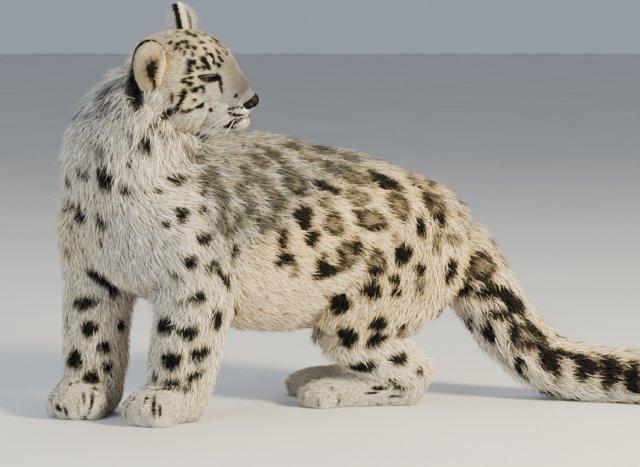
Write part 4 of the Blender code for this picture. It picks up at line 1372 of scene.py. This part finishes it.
def tones(points, normals, coats, kinds):
    """How warm, how pale and how bare each place is: a grey back, a white chest, a bare nose."""
    names = list(COATS)
    warm, pale = coats[:, 5].copy(), coats[:, 6].copy()
    down = np.clip(-normals[:, 2], 0, 1)
    up = np.clip(normals[:, 2], 0, 1)
    trunk = kinds < names.index("crown")
    edge = np.interp(points[:, 0], *np.array(GREY_EDGE).T)
    back = np.clip((points[:, 2] - edge) / BACK_FADE + 0.5, 0, 1) * trunk
    pale += UNDER_PALE * down * trunk - BACK_PALE * back
    warm *= 1 - BACK_WARM * back
    tail = kinds == names.index("tail")
    pale += np.where(tail, TAIL_UNDER * down - TAIL_OVER * up, 0)
    warm -= np.where(tail, TAIL_COOL * down, 0)
    middle, reach = (np.array(row, float) for row in WHITE_CHEST)
    chest = np.exp(-(((points - middle) / reach) ** 2).sum(axis=1)) * trunk
    pale += CHEST_PALE * chest
    warm *= 1 - CHEST_WARM * chest
    local = in_frame(points, HEAD)
    bare = np.clip((local[:, 0] + BARE_SLANT * local[:, 2] - BARE_AHEAD) / BARE_FADES[0], 0, 1)
    bare = bare * np.clip((local[:, 2] + BARE_LOW) / BARE_FADES[1], 0, 1)
    bare *= np.linalg.norm(local, axis=1) < HEAD_RADIUS
    return np.clip(warm, 0, 1), np.clip(pale, 0, 1), BARE_MOST * bare


def ride(piece, slot, *nodes):
    """Says which body a piece rides and the nodes that it replaces; its material slot is not used."""
    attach(piece, "root")
    if nodes:
        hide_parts(*nodes)
    return piece


# How high tufts stand: the least and most, the share of their length, and the loose ones over the
# rest, which grow only where the coat is deep
HEIGHT_RANGE, HEIGHT_SHARE, LOOSE_FROM, LOOSE_SHARE = (1.5, 30), 0.75, 2.5, 0.36
# The spread of the tufts' lengths and widths, and of their warm and pale
LENGTHS, WIDTHS, WARM_SPREAD, PALE_SPREAD = (0.7, 1.2), (0.7, 1.25), 0.14, 0.16
# How near the floor and the gaps between toes no tuft grows
FLOOR_CLEAR, GAP_CLEAR = 1.2, 0.85
# How far towards the next corner a tuft's root and tip read the markings
ROOT_READ, TIP_READ = 0.4, 0.2


def dress_body():
    """The skin and its tufts; returns the mouth's line and the tufts' material."""
    rng = np.random.default_rng(SEED)
    outline = make_outline()
    skin, lips = make_skin()
    samples = Samples()
    points, normals = vertices_of(skin.data), normals_of(skin.data)
    lies, coats, kinds, parts = samples.read(points)
    lies[:, 2] -= coats[:, 4]
    lies = rows_of(along_surface(lies, normals))
    heights = np.clip(heights_over(points, normals, outline), *HEIGHT_RANGE)
    marks = all_markings(outline, points, normals, kinds, lies, rng)
    warm, pale, bare = tones(points, normals, coats, kinds)
    spot, shade = darkness(points, marks, rng), np.full(len(points), 0.5)
    set_values(skin.data, spot=spot, warm=warm, pale=pale, bare=bare, shade=shade)
    lay_unwrap(skin.data, samples, points, parts)
    dressed(skin, coat_material("skin_fur", True))
    flesh = [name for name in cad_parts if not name.startswith(("eye", "nose", "ear"))]
    ride(to_frame(skin), "body_fur", *flesh)

    count, thicker = ((TUFTS, 1.0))
    corners, shares = scattered(skin.data, coats[:, 2], count, rng)
    roots, outs = carried(points, corners, shares), rows_of(carried(normals, corners, shares))
    coat = carried(coats, corners, shares)
    ways = carried(lies, corners, shares) + rng.normal(0, 1, (count, 3)) * coat[:, 3:4]
    ways = rows_of(along_surface(ways, outs))
    lengths = coat[:, 0] * rng.uniform(*LENGTHS, count)
    widths = coat[:, 1] * rng.uniform(*WIDTHS, count) * thicker
    height = np.minimum(carried(heights, corners, shares), HEIGHT_SHARE * lengths)
    loose = height + LOOSE_SHARE * lengths * rng.random(count) ** 3
    height = np.where(height > LOOSE_FROM, loose, height)
    keep = eye_clearance(roots) & (roots[:, 2] > FLOOR_CLEAR)
    for name in FEET:
        keep &= toe_gap_distance(roots, name) > GAP_CLEAR
    placed_corners = tuft_vertices(roots, outs, ways, lengths, widths, height, rng)
    stray = ways * (rng.normal(0, STRAY, count) * lengths)[:, None]
    low, middle, tip = placed_corners[:, 0], placed_corners[:, 3], placed_corners[:, 4]
    root_read = (1 - ROOT_READ) * low + ROOT_READ * middle
    spine = (root_read, middle, TIP_READ * middle + (1 - TIP_READ) * tip)
    rings = [darkness(place + stray, marks, rng) for place in spine]
    values = {
        "spot": np.stack([rings[0], rings[1], rings[1], rings[1], rings[2]], axis=1),
        "warm": carried(warm, corners, shares) + rng.normal(0, WARM_SPREAD, count),
        "pale": np.clip(carried(pale, corners, shares) + rng.normal(0, PALE_SPREAD, count), 0, 1),
        "bare": carried(bare, corners, shares),
        "shade": rng.random(count),
    }
    part = parts[corners[:, 0]]
    turn, share = samples.unwrap(roots, part)
    uvs = tiled(samples, part, turn, share)
    chosen = np.flatnonzero(keep)
    chosen = chosen[np.argsort(part[chosen], kind="stable")]
    fur = coat_material("coat_fur", False)
    for number, start in enumerate(range(0, len(chosen), TUFTS_A_PIECE), start=1):
        pick = chosen[start:start + TUFTS_A_PIECE]
        piece = tuft_mesh(f"coat_{number}", placed_corners[pick], outs[pick], uvs[pick],
                          {key: numbers[pick] for key, numbers in values.items()})
        ride(dressed(piece, fur), "body_fur")
    return lips, fur


# The room that the tufts leave round an eye's opening and the nose pad, and how far it goes back
EYE_CLEAR, EYE_CLEAR_REACH, NOSE_CLEAR = 2, 24, 2.5


def eye_clearance(roots):
    """Which places lie off the eyes' openings and the nose pad."""
    local = in_frame(roots, HEAD)
    clear = np.ones(len(roots), bool)
    for side in (-1, 1):
        forward, level, rise = (np.array(way) for way in almond_frame(side))
        away = local - np.array(mirrored(EYE_PLACE, side))
        wide, high = (half + EYE_CLEAR for half in EYE_OPENING)
        inside = (np.abs(away @ level) / wide) ** 2 + (np.abs(away @ rise) / high) ** 2
        near = np.linalg.norm(away, axis=1) < EYE_CLEAR_REACH
        clear &= ~((inside < 1) & (away @ forward > 0) & near)
    for place, radii in (*NOSE_MASSES, NOSE_TOP):
        clear &= (((local - np.array(place)) / (np.array(radii) + NOSE_CLEAR)) ** 2).sum(axis=1) > 1
    return clear


# Eyes, lids, nose, lips
# How far the gaze turns from the way the eyes' openings face
GAZE = (0.45, 0.0, -0.05)
# An eyeball's rings and points round, and its cornea: how far it swells and reaches, in radians
EYE_RINGS = EYE_ROUND = 40
CORNEA_SWELL, CORNEA_REACH = 1.03, 0.6
# The lids' rim: steps, how far over the eyeball it lies and round the opening, and its thickness
LID_STEPS, LID_OVER, LID_WIDER, LID_THICK, LID_UPPER = 36, 1.7, 1.05, 1.3, 0.5
# The nose pad's voxels and smoothing
PAD_VOXEL, PAD_ROUNDS = 0.8, 5


def side_name(side):
    return "left" if side > 0 else "right"


def make_eye(side, surface):
    """An eyeball, whose points carry how far round they lie from its front."""
    forward, level, _ = almond_frame(side)
    forward = (forward + Vector(GAZE)).normalized()
    level = (level - forward * level.dot(forward)).normalized()
    rise = forward.cross(level)
    eye = Vector(mirrored(EYE_PLACE, side))
    bm = bmesh.new()
    top = bm.verts.new(HEAD @ (eye + forward * EYE_RADIUS * CORNEA_SWELL))
    turns = [0.0]
    before = None
    for ring in range(1, EYE_RINGS):
        angle = math.pi * ring / EYE_RINGS
        swell = CORNEA_SWELL if angle < CORNEA_REACH else 1.0
        row = []
        for k in range(EYE_ROUND):
            spin = 2 * math.pi * k / EYE_ROUND
            outward = level * math.cos(spin) + rise * math.sin(spin)
            way = forward * math.cos(angle) + outward * math.sin(angle)
            row.append(bm.verts.new(HEAD @ (eye + way * EYE_RADIUS * swell)))
            turns.append(angle / math.pi)
        for k in range(EYE_ROUND):
            if before:
                bm.faces.new((before[k - 1], before[k], row[k], row[k - 1]))
            else:
                bm.faces.new((top, row[k], row[k - 1]))
        before = row
    last = bm.verts.new(HEAD @ (eye - forward * EYE_RADIUS))
    turns.append(1.0)
    for k in range(EYE_ROUND):
        bm.faces.new((before[k - 1], before[k], last))
    made = object_of("eyeball_" + side_name(side), bm)
    set_values(made.data, turn=turns)
    dressed(made, surface)
    ride(to_frame(made), "eye", "eye_" + side_name(side))


def make_lid(side, surface):
    """The dark rim of an eye's lids."""
    frame_of_eye = almond_frame(side)
    eye = Vector(mirrored(EYE_PLACE, side))
    rows = []
    for k in range(LID_STEPS + 1):
        angle = 2 * math.pi * k / LID_STEPS
        flat = almond_point(frame_of_eye, angle, 0).length_squared
        depth = math.sqrt(max(EYE_RADIUS**2 - flat, 4))
        point = almond_point(frame_of_eye, angle, depth, LID_WIDER).normalized()
        thick = LID_THICK + LID_UPPER * max(0, math.sin(angle))
        rows.append((*(eye + point * (EYE_RADIUS + LID_OVER)), thick, thick))
    bm = bmesh.new()
    add_tube(bm, rows, (0, 0, 1), HEAD, sides=LIP_SIDES, per_span=1)
    made = object_of("eyelid_" + side_name(side), bm)
    dressed(made, surface)
    ride(to_frame(made), "nose_skin")


def make_nose(surface):
    """The nose pad with its nostrils."""
    bm = bmesh.new()
    for place, radii in NOSE_MASSES:
        low = (place[0], place[1], place[2] - PAD_DROP)
        add_mass(bm, low, (radii[0], radii[1] - PAD_INSET, radii[2] - PAD_DROP), HEAD)
    nose = fused(object_of("nose_pad", bm), PAD_VOXEL, PAD_ROUNDS)
    for side in (-1, 1):
        bm = bmesh.new()
        add_mass(bm, mirrored(NOSTRIL_PLACE, side), NOSTRIL_RADII, HEAD)
        cut(nose, bm)
    dressed(nose, surface)
    ride(to_frame(nose), "nose_skin", "nose")


def make_lips(lips, surface):
    """The dark line between the lips."""
    bm = bmesh.new()
    add_tube(bm, lips, (0, 0, 1), HEAD, sides=LIP_SIDES, per_span=6)
    made = object_of("lips", bm)
    dressed(made, surface)
    ride(to_frame(made), "nose_skin")


# Whiskers: root on the muzzle, way out, length, in the head's own frame, one side
WHISKERS = (
    ((88, 22, -52), (-0.85, 0.55, 0.10), 60),
    ((84, 24, -53), (-0.80, 0.60, -0.10), 66),
    ((86, 23, -57), (-0.65, 0.70, -0.20), 58),
    ((90, 21, -57), (-0.45, 0.80, -0.20), 46),
    ((82, 25, -60), (-0.70, 0.60, -0.40), 50),
    ((87, 22, -62), (-0.25, 0.80, -0.50), 32),
    ((77, 27, -61), (-0.75, 0.50, -0.45), 38),
)
# The spread of their lengths and ways, how far they bend back, aside and down, and their thickness
# at the root, the share of it that is lost towards the tip, and the spans along them
WHISKER_LENGTHS, WHISKER_STRAY = (0.85, 1.15), 0.12
WHISKER_BACK, WHISKER_SWAY, WHISKER_SINK, WHISKER_DROOPS = -0.15, (-0.2, 0.2), -0.3, (0.2, 1.0)
WHISKER_THICK, WHISKER_TAPER, WHISKER_SPANS = 0.36, 0.8, 6


def make_whiskers(surface, rng):
    """All whiskers as one piece."""
    bm = bmesh.new()
    for side in (-1, 1):
        for root, way, length in WHISKERS:
            way = unit(mirrored(way, side))
            length *= rng.uniform(*WHISKER_LENGTHS)
            way = (way + Vector(rng.normal(0, WHISKER_STRAY, 3))).normalized()
            droop = Vector((WHISKER_BACK, side * rng.uniform(*WHISKER_SWAY), WHISKER_SINK))
            droop = droop * rng.uniform(*WHISKER_DROOPS)
            rows = []
            for k in range(WHISKER_SPANS + 1):
                share = k / WHISKER_SPANS
                point = Vector(mirrored(root, side)) + (way + droop * share) * length * share
                thick = WHISKER_THICK * (1 - WHISKER_TAPER * share)
                rows.append((*point, thick, thick))
            sub = bmesh.new()
            thin_tube(sub, rows)
            mesh = bpy.data.meshes.new("strand")
            sub.to_mesh(mesh)
            sub.free()
            bm.from_mesh(mesh)
            bpy.data.meshes.remove(mesh)
    bm.transform(HEAD)
    made = object_of("whiskers", bm)
    dressed(made, surface)
    ride(to_frame(made), "head_fur")


def thin_tube(bm, rows, sides=4):
    """A closed tube that may be thinner than a millimetre."""
    curve = np.array(rows)
    rings = []
    for row, (_, across, deep) in zip(curve, frames_along(curve, (0.1, 0.2, 1))):
        ring = []
        for k in range(sides):
            angle = 2 * math.pi * k / sides
            outward = across * math.cos(angle) + deep * math.sin(angle)
            ring.append(bm.verts.new(Vector(row[:3]) + outward * row[3]))
        rings.append(ring)
    for near, far in zip(rings, rings[1:]):
        for k in range(sides):
            bm.faces.new((near[k], near[k - 1], far[k - 1], far[k]))
    bm.faces.new(rings[0])
    bm.faces.new(reversed(rings[-1]))


# Ears
# How fine an ear's shell is made and how often it is smoothed
EAR_VOXEL, EAR_ROUNDS = 1.1, 3
# Where an ear's back ends, in the shell's own measure and in radii, and where its rim begins
EAR_BACK, EAR_BACK_DEPTH, EAR_RIM = 0.86, 0.12, 0.80
# How dense the tufts are on the rim, on the back and in the cup, and how much less in its painted shade
RIM_SHARE, BACK_SHARE, CUP_SHARE, SHADE_FEWER = 2.6, 1.2, 0.8, 0.5
# The fan that the hair lies in: how far below the middle it starts, and how little it spreads
FAN_DROP, FAN_SPREAD = 0.8, 0.6
# How the cup's hair lies: up, out and across it, and how much more across at the front edge,
# which ends at this height, and the stray of all hair
CUP_UP, CUP_OUT, CUP_ACROSS, EDGE_ACROSS, EDGE_TOP, EAR_STRAY = 0.9, 0.7, 0.3, 1.6, 0.7, 0.2
# Lengths, widths and heights of the tufts, behind and within, and their spreads
EAR_LENGTHS, EAR_WIDTHS, EAR_HEIGHTS = (6.0, 5.0), (1.2, 0.8), (1.6, 1.2)
EAR_SPREADS = (0.6, 1.2), (0.7, 1.2), (0.6, 1.2)
# How much of the cup's painted shade the front edge's hair loses, and how near the skull's middle no hair
# grows
EDGE_PALE, EAR_CLEAR = 0.75, 40
# The cup's painted shade: how dark, where and how wide, and how ragged; and the painted shade of the crease
# that leads down from it
HOLLOW_SHADE, HOLLOW_PLACE, HOLLOW_SIZE, HOLLOW_RAGGED = 1.25, (-0.02, 0.12), (0.66, 0.62), 0.07
CREASE_SHADE, CREASE_PLACE, CREASE_LEAN, CREASE_WIDTH, CREASE_ENDS = 1.1, 0.05, 0.25, 0.24, (-0.8, 0.2)
# How warm an ear is behind and within, and how pale behind, on its rim and within
EAR_WARM, EAR_PALE = (0.2, 1.0), (0.6, 0.4, 0.25)


def ear_frame(side):
    """Places an ear's own frame, across, up and out of its cup; with the ear's radii."""
    place, radii, up, facing = EARS[side]
    facing = unit(facing)
    across = unit(up).cross(facing).normalized()
    turn = Matrix((across, facing.cross(across), facing)).transposed().to_4x4()
    return HEAD @ Matrix.Translation(place) @ turn, radii


def ear_mass(place, radii, matrix):
    """A rounded mass in an ear's own frame, which grows broader towards the ear's tip."""
    bm = bmesh.new()
    add_mass(bm, place, radii, detail=4)
    for vertex in bm.verts:
        vertex.co.x *= 1 + EAR_SPREAD * vertex.co.y / radii[1]
    bm.transform(matrix)
    return bm


def make_ear(side, fur, rng):
    """An ear's cup with short dark fur behind, a pale rim and long pale hair inside."""
    matrix, radii = ear_frame(side)
    shell = [radius - EAR_DEPTH for radius in radii]
    ear = object_of("ear_skin_" + side, ear_mass((0, 0, 0), shell, matrix))
    cut(ear, ear_mass(EAR_CUP, [radius - EAR_WALL for radius in shell], matrix))
    fused(ear, EAR_VOXEL, EAR_ROUNDS)
    points, normals = vertices_of(ear.data), normals_of(ear.data)
    back, rim, local = ear_zones(points, matrix, radii)
    set_values(ear.data, **ear_tones(local, radii, back, rim), shade=np.full(len(points), 0.5))
    layer = ear.data.uv_layers.new(name="OFBake")
    uvs = ear_tiled(side, local)[loop_vertices(ear.data)]
    layer.data.foreach_set("uv", np.clip(uvs, 0, 1).ravel())
    dressed(ear, bpy.data.materials["skin_fur"])

    count, thicker = ((EAR_TUFTS, 1.0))
    weights = np.where(rim, RIM_SHARE, np.where(back, BACK_SHARE, CUP_SHARE))
    weights *= 1 - SHADE_FEWER * ear_cup_shade(local, radii) * ~back
    corners, shares = scattered(ear.data, weights, count, rng)
    roots, outs = carried(points, corners, shares), rows_of(carried(normals, corners, shares))
    behind, at_rim, places = ear_zones(roots, matrix, radii)
    axes = np.array(matrix.to_3x3().normalized())
    fan = places[:, :2] + np.array((0, radii[1] * FAN_DROP))
    lie = rows_of(fan[:, :1] * axes[:, 0] * FAN_SPREAD + fan[:, 1:] * axes[:, 1])
    edge = np.clip(places[:, 0] / radii[0], 0, 1) * np.clip(EDGE_TOP - places[:, 1] / radii[1], 0, 1)
    within = lie * CUP_UP + axes[:, 2] * CUP_OUT - axes[:, 0] * (CUP_ACROSS + EDGE_ACROSS * edge[:, None])
    lie = np.where(behind[:, None], lie, within) + rng.normal(0, EAR_STRAY, (count, 3))
    lie = rows_of(np.where(behind[:, None], along_surface(lie, outs), lie))
    long, wide, high = (rng.uniform(*spread, count) for spread in EAR_SPREADS)
    lengths = np.where(behind, EAR_LENGTHS[0], EAR_LENGTHS[1] + EAR_HAIR[side] * edge) * long
    widths = np.where(behind, *EAR_WIDTHS) * wide * thicker
    heights = np.where(behind, *EAR_HEIGHTS) * high
    values = ear_tones(places, radii, behind, at_rim)
    values["pale"] = np.where(behind, values["pale"], values["pale"] + EAR_PALER[side])
    values["spot"] = values["spot"] * (1 - EDGE_PALE * np.clip(edge * 2, 0, 1) * ~behind)
    values["shade"] = rng.random(count)
    uvs = ear_tiled(side, places)
    tufts = tuft_vertices(roots, outs, lie, lengths, widths, heights, rng)
    keep = np.flatnonzero(((roots - np.array(HEAD_PLACE)) ** 2).sum(1) > EAR_CLEAR**2)
    piece = tuft_mesh("ear_hair_" + side, tufts[keep], outs[keep], uvs[keep],
                      {key: numbers[keep] for key, numbers in values.items()})
    dressed(piece, fur)
    ride(piece, "ear_fur")
    ride(to_frame(ear), "ear_fur", "ear_" + side)


def ear_tiled(side, local):
    """Places in an ear's own frame as places on its tile."""
    left, bottom, width, height = TILES["ear_" + side]
    turn = np.arctan2(local[:, 0], local[:, 1]) / 2 / math.pi + 0.5
    return np.stack([left + width * turn, bottom + height * (0.5 + local[:, 2] / EAR_TILE_DEPTH)], axis=1)


def ear_zones(points, matrix, radii):
    """Which places are on an ear's back, which on its rim, and all of them in the ear's own frame."""
    local = (points - np.array(matrix.translation)) @ np.array(matrix.to_3x3().normalized())
    outer = ((local / (np.array(radii) - EAR_DEPTH)) ** 2).sum(axis=1)
    back = (outer > EAR_BACK) & (local[:, 2] < radii[2] * EAR_BACK_DEPTH)
    rim = ear_round(local, radii) > EAR_RIM
    return back, rim & ~back, local


def ear_round(local, radii):
    """How far out from the cup's middle each place is, seen from the front: 1 at the edge."""
    spread = 1 + EAR_SPREAD * local[:, 1] / radii[1]
    return np.hypot(local[:, 0] / radii[0] / spread, local[:, 1] / radii[1])


def ear_cup_shade(local, radii):
    """Painted shade deep in the cup and in the crease that runs down from it."""
    x, y = local[:, 0] / radii[0], local[:, 1] / radii[1]
    ragged = 1 + HOLLOW_RAGGED * np.sin(19 * x + 5 * y) + HOLLOW_RAGGED * np.sin(23 * y - 9 * x)
    out = ((x - HOLLOW_PLACE[0]) / HOLLOW_SIZE[0]) ** 2 + ((y - HOLLOW_PLACE[1]) / HOLLOW_SIZE[1]) ** 2
    hollow = HOLLOW_SHADE * ragged * np.exp(-out)
    crease = np.exp(-(((x + CREASE_PLACE + CREASE_LEAN * y) / CREASE_WIDTH) ** 2))
    crease = CREASE_SHADE * crease * ((y < CREASE_ENDS[1]) & (y > CREASE_ENDS[0]))
    return np.clip(np.maximum(hollow, crease), 0, 1)


def ear_tones(local, radii, back, rim):
    """The coat's values on an ear: dark round the back, painted shade in the cup, pale at the rim."""
    behind, at_rim, within = EAR_PALE
    dark_edge = np.clip((ear_round(local, radii) - EAR_RIM) / 0.10, 0, 1)
    return {
        "spot": np.where(back, dark_edge, np.where(rim, 0.0, ear_cup_shade(local, radii))),
        "warm": np.where(back, *EAR_WARM),
        "pale": np.where(back, behind, np.where(rim, at_rim, within)),
        "bare": np.zeros(len(local)),
    }


# Stage, in metres
# Each light: place, power, size and colour
LIGHTS = {
    "key": ((2.3, -1.9, 1.5), 430, 0.7, (1.0, 0.86, 0.60)),
    "fill": ((-2.4, -2.8, 1.5), 135, 2.4, (0.80, 0.89, 1.0)),
    "top": ((-0.2, 1.4, 3.0), 50, 2.6, (0.90, 0.94, 1.0)),
}
# What the lights look at, the sky, the floor's half size, and the camera's sensor and sight
LIGHTS_AIM = (-0.05, 0, 0.25)
SKY, SKY_STRENGTH = (0.66, 0.74, 0.86, 1), 0.5
FLOOR_HALF, SENSOR, SIGHT_END = 15, 36, 100
FLOOR_STOPS = ((0.3, (0.60, 0.59, 0.57)), (0.7, (0.66, 0.65, 0.63)))


def look(made, way):
    """Turns a camera or light to look along a way."""
    made.rotation_mode = "QUATERNION"
    made.rotation_quaternion = way.to_track_quat("-Z", "Y")


def add_light(name, place, energy, size, colour):
    light = bpy.data.lights.new(name, "AREA")
    light.energy, light.size, light.color = energy, size, colour
    made = bpy.data.objects.new(name, light)
    made.location = place
    look(made, Vector(LIGHTS_AIM) - made.location)
    bpy.context.scene.collection.objects.link(made)


def make_stage():
    """The camera, the floor, the lights and the sky."""
    scene = bpy.context.scene
    place, _, _, forward = camera_frame()
    camera = bpy.data.objects.new("camera", bpy.data.cameras.new("camera"))
    camera.location = Vector(place) * MM + Vector(SHIFT)
    look(camera, forward)
    camera.data.sensor_width = SENSOR
    camera.data.lens = SENSOR * CAMERA_DISTANCE / (PHOTO_SIZE[0] * PIXEL)
    camera.data.clip_end = SIGHT_END
    scene.collection.objects.link(camera)
    scene.camera = camera
    bm = bmesh.new()
    bmesh.ops.create_grid(bm, x_segments=1, y_segments=1, size=FLOOR_HALF)
    floor = object_of("floor", bm)
    made, tree, surface = material("floor_surface", 0.75)
    nodes = Nodes(tree)
    nodes.link(nodes.ramp(nodes.noise(3, 5), FLOOR_STOPS), surface.inputs["Base Color"])
    dressed(floor, made)
    for name, settings in LIGHTS.items():
        add_light(name, *settings)
    world = bpy.data.worlds.new("studio")
    scene.world = world
    world.use_nodes = True
    background = world.node_tree.nodes["Background"]
    background.inputs[0].default_value = SKY
    background.inputs[1].default_value = SKY_STRENGTH


# The small surfaces: dark and light colour, roughness, size of the mottling and strength of the relief
WET_NOSE = ((0.0015, 0.0015, 0.0015), (0.004, 0.0035, 0.0035), 0.4, 260, 0.5)
LID_SKIN = ((0.004, 0.003, 0.003), (0.010, 0.008, 0.007), 0.6, 300, 0.4)
WHISKER_WHITE = ((0.75, 0.74, 0.70), (0.85, 0.84, 0.80), 0.4, 400, 0.1)


def main():
    """Makes every piece in turn, then the stage."""
    lips, fur = dress_body()
    rng = np.random.default_rng(SEED + 1)
    wet = plain_material("nose_surface", *WET_NOSE, Specular_IOR_Level=0.08)
    lid = plain_material("lid_surface", *LID_SKIN)
    white = plain_material("whisker_surface", *WHISKER_WHITE)
    shine = eye_material()
    for side in (-1, 1):
        make_eye(side, shine)
        make_lid(side, lid)
    for side in EARS:
        make_ear(side, fur, rng)
    make_nose(wet)
    make_lips(lips, lid)
    make_whiskers(white, rng)
    make_stage()


main()
